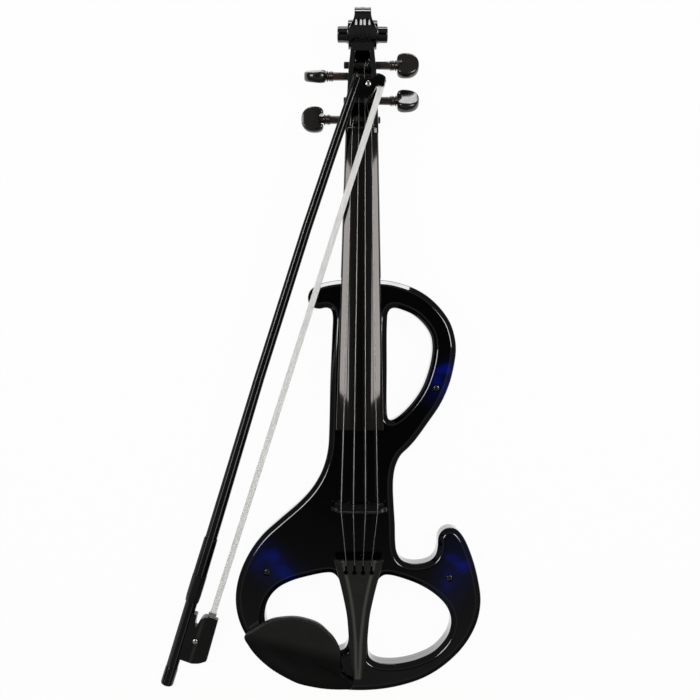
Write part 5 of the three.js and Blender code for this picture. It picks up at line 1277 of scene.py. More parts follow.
def onBow(form):
    return moved(form, bowFrame)


def stickSection(along, extra=0, corner=0.5):
    # eight flat faces whose edges are softened
    taper, camber = stepped(bow['stick'], (along - bow['start']) / (bow['end'] - bow['start']))
    radius = (mix(bow['buttRadius'], bow['tipRadius'], taper) + extra) / cos(pi / 8)
    corners = [Vector((bow['camber'] * camber + radius * cos(pi * (2 * i + 1) / 8),
                       radius * sin(pi * (2 * i + 1) / 8))) for i in range(8)]
    ring = []
    for i, point in enumerate(corners):
        before, after = corners[i - 1], corners[(i + 1) % 8]
        start = point + (before - point).normalized() * corner
        end = point + (after - point).normalized() * corner
        ring += [start, (start + end + point * 2) / 4, end]
    return [Vector((p.x, along, p.y)) for p in ring]


def stickForm(start, end, extra=0):
    places = [start + (end - start) * i / 60 for i in range(61)]
    return skin([stickSection(a, extra) for a in places])


def softened(points, reach, steps=4, least=2.1):
    # rounds the corners of an outline; a short side keeps a stretch of its own
    fine = []
    for i, point in enumerate(points):
        before, after = points[i - 1], points[(i + 1) % len(points)]
        run = min(reach, (before - point).length / least, (after - point).length / least)
        start = point + (before - point).normalized() * run
        end = point + (after - point).normalized() * run
        for k in range(steps + 1):
            t = k / steps
            fine.append(start * (1 - t) ** 2 + point * 2 * t * (1 - t) + end * t * t)
    return fine


def slab(points, half, edge):
    # a flat piece with softened edges on both faces
    loop = points if loopArea(points) > 0 else points[::-1]
    rows = [(edge, -half), (edge * 0.3, -half + edge * 0.3), (0, -half + edge)]
    return skin(drawnIn(loop, rows + [(run, -z) for run, z in rows[::-1]]))


def makeBowStick():
    b, room = bow, bow['room']
    start = b['end'] - b['headLength'] * b['headBack']
    outline = softened([Vector((across * b['headReach'], start + along * b['headLength']))
                        for along, across in b['head']], 2.2)
    eye, (before, after) = b['eyeAlong'], b['eyeTravel']
    x, y = b['tipScrew']
    cuts = [box(around(b['hairHeadOffset'], b['hairHalf'] + room),
                (start - overrun, b['hairEnd'] + room), around(0, b['mortiseHalf'])),
            rod((0, b['start'] - overrun, 0), (0, b['start'] + b['boreLength'], 0), b['bore'], 24),
            box((-b['eyeHalf'], b['eyeReach']), (eye - before, eye + after),
                around(0, b['eyeHalf'])),
            rod((x, y, 0), (x, y, b['headHalf'] + 2.5), screwBore, 24)]
    stick, head, *cuts = [onBow(form) for form in (
        stickForm(b['start'], b['end']), slab(outline, b['headHalf'], 0.9), *cuts)]
    return carved('octagonal_bow_stick', stick, added=[head], cut=cuts)


def makeFrog():
    b, room = bow, bow['room']
    long = b['frogEnd'] - b['frogStart']
    outline = softened([Vector((across * b['frogReach'], b['frogStart'] + along * long))
                        for along, across in b['frog']], 1.4)
    frog = slab(outline, b['frogHalf'], 0.6)
    for point in frog[0]:
        # the two broad faces meet in a ridge that runs lengthwise
        point.z *= stepped(b['frogRidge'], point.x)[0]
    x, y = b['frogScrewX'], b['eyeAlong']
    cuts = [stickForm(b['start'], b['frogEnd'] + 6, 0.35),
            box(b['eyeSeat'], around(y, b['eyeSeatHalf']), around(0, b['eyeSeatHalf'])),
            box(around(b['hairOffset'], b['hairHalf'] + room),
                (b['frogEnd'] - b['hairTuck'] - room, b['frogEnd'] + overrun),
                around(0, b['mortiseHalf'])),
            rod((x, y, 0), (x, y, 8), screwBore, 24)]
    return carved('bow_frog_block', onBow(frog), cut=[onBow(form) for form in cuts])


def hairSection(along, across, extra=0, corner=0.5):
    half, thick = bow['hairHalf'] + extra, bow['hairThick'] / 2 + extra
    loop = roundedBox(half, thick, corner, 3)
    return [Vector((across + p.x, along, p.y)) for p in loop]


def makeFerrule():
    start, offset = bow['frogEnd'] + bow['room'], bow['hairOffset'] + 0.02
    outer = skin([hairSection(start + along, offset, extra, extra) for along, extra in (
        (0, 0.8), (0.3, 1.1), (3.7, 1.1), (4, 0.8))])
    inner = skin([hairSection(start + along, offset, bow['room']) for along in (-2, 6)])
    return carved('silver_ferrule', onBow(outer), cut=[onBow(inner)])


def makeSleeve(name, table, inside, corner):
    # an eight sided sleeve over the stick, with a running gap inside
    outer = skin([stickSection(along, extra, corner) for along, extra in table])
    return carved(name, onBow(outer), cut=[onBow(stickForm(*inside, bow['room']))])


def makeBowScrew():
    b = bow
    low = b['start'] - b['room'] - b['knob'][-1][1]
    profile = [[b['knobRadius'] * share, low + along] for share, along in b['knob']]
    profile += [[b['screwRadius'], profile[-1][1]], [b['screwRadius'], b['screwEnd']],
                [0, b['screwEnd']]]
    return rawPiece('bow_screw_knob', onBow(turned(profile, way=(0, 1, 0), sides=56)))


# Small parts of the body

door = {
    'round': 0.5, 'edge': [(0.35, 0.5), (0.1, 0.6), (0, 0.85), (0, 2.5)],
    'nailHalf': 6, 'nailAlong': 4, 'nailDepth': 1.2,
    'ribHalf': 5, 'ribAlong': 7.2, 'ribPitch': 1.6, 'ribs': 4, 'ribDepth': 0.8,
}


def makeDoor():
    b, d = bay, door
    low, high = b['doorLow'], b['hingeY']
    loop = roundedBox(b['doorHalf'], (high - low) / 2, d['round'], 3, 0, (high + low) / 2)
    nail = prism(roundedBox(d['nailHalf'], 1.1, 1, 4, 0, low + d['nailAlong']), -1, d['nailDepth'])
    ribs = [prism(roundedBox(d['ribHalf'], 0.35, 0.3, 3, 0, low + d['ribAlong'] + d['ribPitch'] * i),
                  -1, d['ribDepth']) for i in range(d['ribs'])]
    return carved('battery_door_panel', skin(drawnIn(loop, d['edge'])),
                  added=[hingeBar(b['doorHalf'], b['hingeRadius'], 32)], cut=[nail] + ribs)


knob = {
    'radius': 8.27, 'ridges': 24, 'ridgeDepth': 0.45, 'perRidge': 8,
    'edge': [(1.2, 1), (0.5, 1.15), (0.12, 1.6), (0, 2.2), (0, 7)],
    'dish': [[0, -2], [6.2, -2], [5.6, 1.3], [4.5, 1.45], [0, 1.6]],
    'pointerHalf': 0.5, 'pointer': (4.6, 9), 'pointerDepth': 1.5, 'hole': (3.7, 9, 3.3),
}


def makeKnob():
    k, x, y = knob, control['volumeX'], control['y']
    loop = []
    count = k['ridges'] * k['perRidge']
    for i in range(count):
        angle = 2 * pi * i / count
        radius = k['radius'] - k['ridgeDepth'] * (0.5 - 0.5 * cos(angle * k['ridges'])) ** 1.5
        loop.append(Vector((x + radius * cos(angle), y + radius * sin(angle))))
    dish = turned(k['dish'], (x, y, 0), sides=64)
    pointer = box(around(x, k['pointerHalf']), [y + run for run in k['pointer']],
                  (-1, k['pointerDepth']))
    return carved('ridged_volume_knob', skin(drawnIn(loop, k['edge'])),
                  cut=[dish, pointer, volumeBar(*k['hole'], 32)])


slider = {
    'halfX': 3, 'halfY': 2.5, 'round': 0.4, 'edge': [(0.3, 1.3), (0, 1.6), (0, 3.7)],
    'stem': (2.7, 8.6), 'grooves': 5, 'groovePitch': 0.95, 'grooveStart': -2.2,
    'grooveWidth': 0.45, 'grooveHalf': 2, 'grooveDepth': 1.6,
}


def makeSlider():
    s, x, y = slider, control['switchX'], control['y']
    loop = roundedBox(s['halfX'], s['halfY'], s['round'], 3, x, y)
    half = control['slotHalf']
    starts = [x + s['grooveStart'] + s['groovePitch'] * i for i in range(s['grooves'])]
    grooves = [box((low, low + s['grooveWidth']), around(y, s['grooveHalf']),
                   (0, s['grooveDepth'])) for low in starts]
    return carved('grooved_power_slider', skin(drawnIn(loop, s['edge'])),
                  added=[box(around(x, half), around(y, half), s['stem'])], cut=grooves)


# Geometry Nodes pieces

class PieceTree(NodeSet):
    # a tree with named inputs that ends in real faces with their finish
    def __init__(self, name, **inputs):
        self.tree = bpy.data.node_groups.new(name, 'GeometryNodeTree')
        face = self.tree.interface
        face.new_socket('Geometry', in_out='INPUT', socket_type='NodeSocketGeometry')
        self.sockets = {label: face.new_socket(label, in_out='INPUT',
                                               socket_type='NodeSocket' + kind)
                        for label, kind in (inputs | {'Finish': 'Material'}).items()}
        face.new_socket('Geometry', in_out='OUTPUT', socket_type='NodeSocketGeometry')
        self.entry = self.tree.nodes.new('NodeGroupInput')

    def asked(self, label):
        return Reading(self, self.entry.outputs[label])

    def trait(self, label, kind='FLOAT_VECTOR'):
        return self.node('GeometryNodeInputNamedAttribute', {'data_type': kind}, {'Name': label})

    def ring(self, sides, radius):
        return self.node('GeometryNodeCurvePrimitiveCircle', None, {
            'Resolution': sides, 'Radius': radius})

    def wires(self, lines, section):
        return self.node('GeometryNodeCurveToMesh', None, {
            'Curve': lines, 'Profile Curve': section, 'Fill Caps': True})

    def ended(self, geometry):
        real = self.node('GeometryNodeRealizeInstances', None, {'Geometry': geometry})
        coated = self.node('GeometryNodeSetMaterial', None,
                           {'Geometry': real, 'Material': self.asked('Finish')})
        self.node('NodeGroupOutput', None, {0: coated})
        return self


def grown(name, tree, values, form=((Vector(),), ()), traits=None):
    # a plain mesh grown by a tree from a form, or from points and what is known at each
    piece = rawPiece(name, form)
    for label, rows in (traits or {}).items():
        vectors = isinstance(rows[0], Vector)
        layer = piece.data.attributes.new(label, 'FLOAT_VECTOR' if vectors else 'FLOAT', 'POINT')
        for item, row in zip(layer.data, rows):
            setattr(item, 'vector' if vectors else 'value', row)
    modifier = piece.modifiers.new(name, 'NODES')
    modifier.node_group = tree.tree
    for label, value in values.items():
        modifier[tree.sockets[label].identifier] = value
    settled(piece)
    for label in list(traits or {}) + ['tip']:
        if label in piece.data.attributes:
            piece.data.attributes.remove(piece.data.attributes[label])
    return piece


winding = {'loops': 3, 'pitch': 1.3, 'radius': 4.25, 'steps': 40, 'sides': 12}


def makeWindingTree():
    tree = PieceTree('string_winding', Loops='Float', Pitch='Float', Radius='Float', Wire='Float',
                     Steps='Int', Place='Vector', Aim='Vector', Reversed='Bool')
    asked = tree.asked
    spiral = tree.node('GeometryNodeCurveSpiral', None, {
        'Resolution': asked('Steps'), 'Rotations': asked('Loops'), 'Start Radius': asked('Radius'),
        'End Radius': asked('Radius'), 'Reverse': asked('Reversed'),
        'Height': asked('Loops') * asked('Pitch')})
    placed = tree.node('GeometryNodeTransform', None, {
        'Geometry': spiral, 'Translation': asked('Place'), 'Rotation': asked('Aim')})
    return tree.ended(tree.wires(placed, tree.ring(winding['sides'], asked('Wire'))))


def makeWinding(tree, s, finish):
    w = winding
    ahead = s['way'] > 0
    return grown('string_winding_' + s['name'], tree, {
        'Loops': float(w['loops']), 'Pitch': w['pitch'] * toMetres,
        'Radius': w['radius'] * toMetres, 'Wire': s['radius'] * toMetres, 'Steps': w['steps'],
        'Place': Vector((s['coil'], s['y'], s['z'])) * toMetres,
        'Aim': Vector((0, -pi / 2, pi if ahead else 0)), 'Reversed': ahead, 'Finish': finish})


def makeScrewHead():
    # a screw with a domed cross head; its tip end is stretched to length by the tree
    s = screws
    r, tall = s['headRadius'], s['headHeight']
    dome = [[r * sin(pi / 2 * i / 8) ** 0.9, -tall * 0.45 * (1 - cos(pi / 2 * i / 8))]
            for i in range(9)]
    profile = dome + [[r, -tall * 0.8], [r - 0.25, -tall], [s['radius'] + 0.3, -tall],
                      [s['radius'], -tall - 0.3], [s['radius'], -tall - 1], [s['radius'], -tall - 2],
                      [s['radius'] * 0.6, -tall - 2.6], [0, -tall - 2.8]]
    arms = []
    for turn in (0, pi / 2):
        arm = skin([[Vector((x * k, y * k, z)) for x, y in ((-1.75, -0.36), (1.75, -0.36),
                                                            (1.75, 0.36), (-1.75, 0.36))]
                    for z, k in ((1, 1.25), (0, 1), (-1.0, 0.55))])
        arms.append(moved(arm, Matrix.Rotation(turn + 0.4, 4, 'Z')))
    head = carved('screw_pattern', turned(profile, sides=40), cut=arms)
    layer = head.data.attributes.new('tip', 'FLOAT', 'POINT')
    for item, vertex in zip(layer.data, head.data.vertices):
        item.value = 1 if vertex.co.z < (-tall - 1.5) * toMetres else 0
    return head


def makeScrewTree():
    tree = PieceTree('screw_set', Pattern='Object')
    pattern = tree.node('GeometryNodeObjectInfo', None, {'Object': tree.asked('Pattern')},
                        'Geometry')
    aim = tree.node('FunctionNodeEulerToRotation', None, {'Euler': tree.trait('aim')})
    row = tree.node('GeometryNodeInstanceOnPoints', None, {
        'Points': tree.asked('Geometry'), 'Instance': pattern, 'Rotation': aim,
        'Scale': tree.trait('size', 'FLOAT')})
    real = tree.node('GeometryNodeRealizeInstances', None, {'Geometry': row})
    reach = tree.trait('reach', 'FLOAT') * tree.trait('tip', 'FLOAT')
    return tree.ended(tree.node('GeometryNodeSetPosition', None, {
        'Geometry': real, 'Offset': tree.scaled(tree.trait('way'), reach)}))


def makeScrews(name, tree, pattern, rows, finish):
    # rows of where the head's top is, where the tip is, how much larger than the pattern
    places, aims, ways, reaches, sizes = [], [], [], [], []
    for top, tip, size in rows:
        way = (tip - top).normalized()
        places.append(top)
        aims.append(Vector((-way).to_track_quat('Z', 'Y').to_euler()))
        ways.append(way)
        reaches.append(((tip - top).length - (screws['headHeight'] + 2.8) * size) * toMetres)
        sizes.append(float(size))
    return grown(name, tree, {'Pattern': pattern, 'Finish': finish}, (places, ()),
                 {'aim': aims, 'way': ways, 'reach': reaches, 'size': sizes})


def upright(place, top, tip, size=1):
    return Vector((place.x, place.y, top)), Vector((place.x, place.y, tip)), size


def bowScrewRow(across, along, half):
    return (bowFrame @ Vector((across, along, half + 0.3 + screws['headHeight'])),
            bowFrame @ Vector((across, along, 0.5)), 0.82)


hairStrands = {'across': 34, 'radius': 0.085, 'inside': 0.22, 'steps': 26, 'stray': 0.012}


def makeHairTree():
    # fine strands laid side by side along a line, on both faces of the ribbon
    tree = PieceTree('hair_strands', From='Vector', To='Vector', Side='Vector', Lift='Vector',
                     Count='Int', Steps='Int', Radius='Float', Stray='Float')
    asked = tree.asked
    line = tree.node('GeometryNodeCurvePrimitiveLine', None, {
        'Start': asked('From'), 'End': asked('To')})
    fine = tree.node('GeometryNodeResampleCurve', None, {'Curve': line, 'Count': asked('Steps')})
    rows = []
    for way in (1, -1):
        start = tree.scaled(asked('Lift'), way)
        rows.append(tree.node('GeometryNodeMeshLine', {'mode': 'END_POINTS'}, {
            'Count': asked('Count'), 'Start Location': tree.vector('SUBTRACT', start, asked('Side')),
            'Offset': tree.vector('ADD', start, asked('Side'))}))
    points = tree.node('GeometryNodeJoinGeometry', None, {'Geometry': rows})
    laid = tree.node('GeometryNodeInstanceOnPoints', None, {'Points': points, 'Instance': fine})
    real = tree.node('GeometryNodeRealizeInstances', None, {'Geometry': laid})
    stray = tree.node('FunctionNodeRandomValue', {'data_type': 'FLOAT'}, {
        2: asked('Stray') * -1.0, 3: asked('Stray'), 'Seed': 7})
    loose = tree.node('GeometryNodeSetPosition', None, {
        'Geometry': real, 'Offset': tree.scaled(tree.vector('NORMALIZE', asked('Lift')), stray)})
    strands = tree.wires(loose, tree.ring(4, asked('Radius')))
    return tree.ended(tree.node('GeometryNodeJoinGeometry', None, {
        'Geometry': [asked('Geometry'), strands]}))


def makeHair(finish):
    b, h = bow, hairStrands
    start = b['end'] - b['headLength'] * b['headBack']
    core = skin([hairSection(along, offset, -h['inside']) for along, offset in (
        (b['frogEnd'] - b['hairTuck'], b['hairOffset']), (b['frogEnd'], b['hairOffset']),
        (start, b['hairHeadOffset']), (b['hairEnd'], b['hairHeadOffset']))])
    aim = bowFrame.to_3x3()
    lift = b['hairThick'] / 2 - h['radius'] * 2 - h['stray']
    return grown('bow_hair_ribbon', makeHairTree(), {
        'From': bowFrame @ Vector((b['hairOffset'], b['frogEnd'] - b['hairTuck'] + 0.1, 0))
        * toMetres,
        'To': bowFrame @ Vector((b['hairHeadOffset'], b['hairEnd'] - 0.1, 0)) * toMetres,
        'Side': aim @ Vector((b['hairHalf'] - h['radius'], 0, 0)) * toMetres,
        'Lift': aim @ Vector((0, 0, lift)) * toMetres,
        'Count': h['across'], 'Steps': h['steps'], 'Radius': h['radius'] * toMetres,
        'Stray': h['stray'] * toMetres, 'Finish': finish}, onBow(core))


# Finishes

lacquer = {
    'black': (0.0009, 0.0009, 0.0010), 'navy': (0.0012, 0.0035, 0.030), 'blue': (0.002, 0.006, 0.17),
    'wander': 9,
    # centre of each soft patch in mm, its turn in degrees, its two radii, how strong it is
    'patches': [((73.6, 117.5), 12, (12, 7.5), 1.0), ((66.5, 110), 60, (9, 6), 0.7),
                ((73.5, 103), 64, (13, 6.5), 0.55),
                ((-75.5, -45.5), -38, (15, 8), 0.8), ((-64.5, -57), -34, (20, 8.5), 0.72),
                ((-86, -47), 70, (16, 8), 0.4),
                ((90, -53), -12, (13, 7), 0.9), ((82.5, -46), 25, (9, 8), 0.55),
                ((77, -67), 60, (15, 9), 0.3)],
    'halos': [((71, 108), 60, (34, 18), 1.0), ((-74, -54), -36, (46, 27), 1.0),
              ((83, -60), 75, (52, 26), 1.0)],
}


def blueBurst(finish, place):
    # soft patches that shade from black through navy to blue, as a sprayed burst does
    drift = finish.node('ShaderNodeTexNoise', None, {
        'Vector': place, 'Scale': 0.05, 'Detail': 2.5, 'Roughness': 0.6}, 'Color')
    pushed = finish.scaled(finish.vector('SUBTRACT', drift, (0.5, 0.5, 0.5)),
                           lacquer['wander'] * 2)
    strayed = finish.vector('ADD', place, pushed)

    def patch(centre, turn, radii, strength):
        local = finish.framed(strayed, (*centre, 20), (0, 0, radians(turn)), (*radii, 400))
        return finish.vector('LENGTH', local).ramp(1.0, 0.05, 0, strength)

    def joined(rows):
        total = patch(*rows[0])
        for row in rows[1:]:
            total = total.math('MAXIMUM', patch(*row))
        return total

    face = finish.axes(place)[2].ramp(14, 20)
    cloud = finish.noise(place, 0.09, 3, 0.6).ramp(0.3, 0.72, 0.45, 1)
    return joined(lacquer['halos']) * face * 0.75, joined(lacquer['patches']) * face * cloud


def glossFinish(name, burst=False):
    finish, place = begun(name, Coat_Roughness=0.015, IOR=1.47, Coat_IOR=1.5)
    smudge = finish.noise(place, 0.045, 4, 0.62)
    haze = smudge.ramp(0.42, 0.75)
    speck = finish.noise(place, 3.2, 2)
    readings = {
        'Roughness': 0.055 + haze * 0.05 + speck * 0.012,
        'Coat_Weight': 1 - haze * 0.12,
        # a slow swell of the moulding under a very fine orange peel
        'Normal': finish.bump(finish.noise(place, 0.03, 1) * 0.05
                              + finish.noise(place, 0.9, 2) * 0.0009),
    }
    if burst:
        navy, blue = blueBurst(finish, place)
        base = finish.colours(navy, lacquer['black'], lacquer['navy'])
        readings['Base_Color'] = finish.colours(blue, base, lacquer['blue'])
    else:
        readings['Base_Color'] = finish.colours(haze, lacquer['black'], (0.0016, 0.0016, 0.0015))
    return finish.feed(**readings)


def satinFinish(name, dark, light, roughness, grain=1.0, wear=0.5, polish=None, paintedLightTone=(),
                bend=1.46):
    # moulded plastic: a fine spark eroded grain, flow shading and light handling wear; where a mask is
    # given, a painted highlight or painted shade is mixed into the colour
    finish, place = begun(name, IOR=bend)
    flow = finish.noise(place, 0.05, 3, 0.55)
    pits = finish.cells(place, 2.6)
    rub = finish.noise(place, 0.16, 5, 0.68).ramp(0.56, 0.8)
    height = pits * 0.006 * grain + finish.noise(place, 5, 2) * 0.004 * grain
    base = finish.colours(flow.ramp(0.3, 0.7), dark, light)
    if polish:
        # painted light: the mask mixes a painted highlight or painted shade tone into the colour
        base = finish.colours(polish(finish, place), base, paintedLightTone)
    return finish.feed(
        Base_Color=base,
        Roughness=(roughness + flow * 0.08 - rub * 0.12 * wear).clamped(0.05, 0.95),
        Normal=finish.bump(height + flow * 0.02))


def alongTable(finish, share, rows, low, high):
    # a value that follows a table of places and numbers
    stops = [(at, colour(*[(value - low) / (high - low)] * 3)) for at, value in rows]
    ramp = finish.node('ShaderNodeValToRGB', {'stops': stops}, {'Fac': share})
    return ramp * (high - low) + low


def tailRidgePaintedHighlight(finish, place):
    # painted highlight along the two ridges that run together into one towards the narrow end
    x, y, z = finish.axes(place)
    share = (y * -1 + tail['y']) * (1 / tail['length'])
    rows = []
    for i in range(11):
        along = i / 10
        half = flowing(tail['form'], along)[0] * tail['half']
        rows.append((along, half * flowing(tail['flat'], along)[0]))
    ridge = alongTable(finish, share, rows, 0, 20)
    off = (x.math('ABSOLUTE') - ridge).math('ABSOLUTE')
    return off.ramp(2.2, 0.2) * z.ramp(32, 33)


def onBowPlace(finish, place):
    return finish.axes(finish.framed(place, (bow['buttX'], bow['buttY'], bow['buttZ']),
                                     (bowTilt, 0, -bowTurn)))


def stickEdgePaintedHighlight(finish, place):
    # painted highlight lines along the two upper edges of the eight sided stick
    x, y, z = onBowPlace(finish, place)
    share = (y - bow['start']) * (1 / (bow['end'] - bow['start']))
    camber = alongTable(finish, share, [(at, bow['camber'] * c) for at, t, c in bow['stick']],
                        -3, 3)
    radius = alongTable(finish, share, [(at, mix(bow['buttRadius'], bow['tipRadius'], t))
                                        for at, t, c in bow['stick']], 0, 6)
    off = ((x - camber).math('ABSOLUTE') - radius * tan(pi / 8)).math('ABSOLUTE')
    return off.ramp(0.5, 0.1) * z.ramp(1, 2) * y.ramp(546, 540) * y.ramp(70, 230, 0.2, 1)


def frogRidgePaintedHighlight(finish, place):
    # painted highlight along the ridge between the frog's two broad faces
    x, y, z = onBowPlace(finish, place)
    return (x - 14.3).math('ABSOLUTE').ramp(2.2, 0.2) * z.ramp(3, 4) * 0.6


def chinPaintedShade(finish, place):
    # painted shade: the rest is darker towards its lower end, by the body's bottom edge
    x, y, z = finish.axes(place)
    return (y + x * 0.23).ramp(-126, -141)


def boardFinish():
    # smooth black board whose face is polished lengthwise
    finish, place = begun('polished_black_board', IOR=1.52, Specular_Tint=colour(1, 0.94, 0.9))
    long = finish.mapped(place, scale=(1, 0.03, 1))
    streak = finish.noise(long, 1.1, 4, 0.6)
    wear = finish.noise(finish.mapped(place, scale=(1, 0.25, 1)), 0.12, 4, 0.6).ramp(0.5, 0.8)
    return finish.feed(
        Base_Color=finish.colours(streak, (0.0022, 0.0021, 0.002), (0.0046, 0.0042, 0.0038)),
        Roughness=0.035 + streak * 0.02 + wear * 0.03,
        Normal=finish.bump(streak * 0.0012 + finish.noise(place, 0.05, 1) * 0.02))


def pegFinish():
    # near black stained wood, its grain running along each peg
    finish, place = begun('stained_peg_wood', IOR=1.55, Coat_Weight=0.6, Coat_IOR=1.5, Coat_Roughness=0.1)
    long = finish.mapped(place, scale=(0.08, 1, 1))
    grain = finish.noise(long, 1.6, 5, 0.65, 0.4)
    pores = finish.noise(finish.mapped(place, scale=(0.12, 1, 1)), 5.5, 2).ramp(0.6, 0.72)
    # the shafts, worn where they turn, are browner than the heads
    across = finish.axes(place)[0]
    reach = across.math('ABSOLUTE')
    shaft = reach.ramp(33, 29) * reach.ramp(13, 17)
    wood = finish.colours(grain.ramp(0.35, 0.7), (0.0035, 0.0028, 0.0024), (0.011, 0.0075, 0.0055))
    brown = finish.colours(grain.ramp(0.3, 0.7), (0.011, 0.006, 0.0045), (0.05, 0.024, 0.017))
    return finish.feed(
        Base_Color=finish.colours(shaft * 0.8, wood, brown),
        Roughness=0.19 + grain * 0.06 + pores * 0.05,
        Normal=finish.bump(grain * 0.0015 - pores * 0.001))


def metalFinish(name, dark, light, roughness):
    finish, place = begun(name, Metallic=1.0)
    brushed = finish.noise(place, 3.5, 4, 0.6)
    tarnish = finish.noise(place, 0.4, 4, 0.6).ramp(0.5, 0.78)
    return finish.feed(
        Base_Color=finish.colours(tarnish * 0.6, light, dark),
        Roughness=roughness + brushed * 0.12 + tarnish * 0.14,
        Normal=finish.bump(brushed * 0.006))


def stringFinish():
    # a flat steel ribbon wound round each string
    finish, place = begun('flat_wound_string', Metallic=1.0)
    turns = finish.wave(place, 1.2)
    tone = finish.noise(finish.mapped(place, scale=(1, 0.05, 1)), 0.8, 2)
    return finish.feed(
        Base_Color=finish.colours(turns, (0.2, 0.2, 0.195), (0.5, 0.5, 0.49)),
        Roughness=0.3 + tone * 0.12, Normal=finish.bump(turns * 0.012))


def strandFinish():
    # bow hair, streaked along the bow and dusted with rosin near the frog
    finish, place = begun('white_bow_hair', IOR=1.5)
    local = finish.mapped(place, rotation=(0, 0, bowTurn))
    streaks = finish.noise(finish.mapped(local, scale=(1, 0.02, 1)), 1.3, 2, 0.6)
    dust = finish.noise(local, 0.1, 3) * finish.axes(local)[1].ramp(60, -40)
    pale = finish.colours(streaks.ramp(0.3, 0.75), (0.76, 0.75, 0.735), (0.92, 0.915, 0.9))
    return finish.feed(
        Base_Color=finish.colours(dust * 0.35, pale, (0.85, 0.84, 0.8)),
        Roughness=0.6 + streaks * 0.2, Normal=finish.bump(streaks * 0.006))


def circuitFinish():
    # green board with its tracks and pads
    finish, place = begun('green_circuit_board', Coat_Weight=0.4, Coat_Roughness=0.2)
    x, y, z = finish.axes(place)
    lines = finish.wave(place, 0.16, 3).ramp(0.78, 0.84)
    pads = finish.cells(place, 0.32).ramp(0.24, 0.2)
    board = finish.colours(lines, (0.008, 0.09, 0.035), (0.02, 0.2, 0.075))
    return finish.feed(
        Base_Color=finish.colours(pads, board, (0.75, 0.6, 0.3)),
        Metallic=pads * 0.9, Roughness=0.42 - pads * 0.15,
        Normal=finish.bump(lines * 0.03 + pads * 0.05))


def cellFinish():
    # painted battery can: a dark sleeve with a plain copper band at one end
    finish, place = begun('painted_battery_can', IOR=1.45)
    x, y, z = finish.axes(place)
    band = y.ramp(bay['low'] + 40.6, bay['low'] + 40.9)
    rim = y.ramp(bay['low'] + 52.2, bay['low'] + 52.4).math(
        'MAXIMUM', y.ramp(bay['low'] + 6.7, bay['low'] + 6.5))
    scratch = finish.noise(finish.mapped(place, scale=(1, 0.1, 1)), 2.2, 5, 0.7).ramp(0.62, 0.7)
    paint = finish.colours(band, (0.011, 0.012, 0.014), (0.42, 0.17, 0.06))
    return finish.feed(
        Base_Color=finish.colours(rim, paint, (0.55, 0.55, 0.53)),
        Metallic=(band * 0.8).math('MAXIMUM', rim), Roughness=0.28 + scratch * 0.22,
        Normal=finish.bump(scratch * -0.01))


def rubberFinish():
    finish, place = begun('black_lead_sleeve', IOR=1.45)
    bloom = finish.noise(place, 0.35, 4, 0.65)
    return finish.feed(
        Base_Color=finish.colours(bloom.ramp(0.4, 0.75), (0.006, 0.006, 0.006), (0.02, 0.02, 0.019)),
        Roughness=0.6 + bloom * 0.2, Normal=finish.bump(finish.noise(place, 3, 3) * 0.02))


print('finishes')
burstGloss = glossFinish('black_lacquer_with_blue_burst', True)
gloss = glossFinish('plain_black_lacquer')
# the chin rest takes painted shade towards its lower end
chinSatin = satinFinish('satin_chin_rest', (0.013, 0.013, 0.0122), (0.015, 0.015, 0.0142), 0.42,
                        polish=chinPaintedShade, paintedLightTone=(0.0016, 0.0016, 0.0013), bend=1.3)
# the tailpiece takes a painted highlight along its two ridges
tailSatin = satinFinish('satin_tailpiece', (0.0105, 0.0105, 0.0096), (0.013, 0.013, 0.0118), 0.34,
                        polish=tailRidgePaintedHighlight, paintedLightTone=(0.062, 0.062, 0.053))
bridgeSatin = satinFinish('satin_bridge', (0.003, 0.003, 0.0026), (0.0055, 0.0054, 0.0046), 0.26, 0.5)
# the stick takes painted highlight lines along its two upper edges
bowSatin = satinFinish('satin_bow_stick', (0.0016, 0.0016, 0.0016), (0.0028, 0.0028, 0.0027), 0.13, 0.12,
                       polish=stickEdgePaintedHighlight, paintedLightTone=(0.2, 0.2, 0.19))
# the frog takes a painted highlight along its ridge
frogSatin = satinFinish('satin_frog', (0.003, 0.003, 0.003), (0.005, 0.005, 0.0046), 0.2, 0.3,
                        polish=frogRidgePaintedHighlight, paintedLightTone=(0.03, 0.03, 0.027))
gripSatin = satinFinish('soft_grip_rubber', (0.0026, 0.0026, 0.0025), (0.0042, 0.0042, 0.004), 0.26, 1.2)
knobSatin = satinFinish('satin_controls', (0.009, 0.009, 0.0085), (0.013, 0.013, 0.012), 0.42, 1.4, 1)
boardBlack = boardFinish()
pegWood = pegFinish()
steel = metalFinish('brushed_steel', (0.3, 0.29, 0.27), (0.62, 0.62, 0.6), 0.22)
blackedSteel = metalFinish('blacked_screw_steel', (0.035, 0.034, 0.032), (0.13, 0.13, 0.135), 0.2)
silver = metalFinish('polished_silver', (0.4, 0.39, 0.36), (0.78, 0.77, 0.74), 0.14)
brass = metalFinish('turned_brass', (0.28, 0.16, 0.05), (0.66, 0.46, 0.19), 0.26)
wound = stringFinish()
strand = strandFinish()
circuit = circuitFinish()
can = cellFinish()
rubber = rubberFinish()


# Assembly

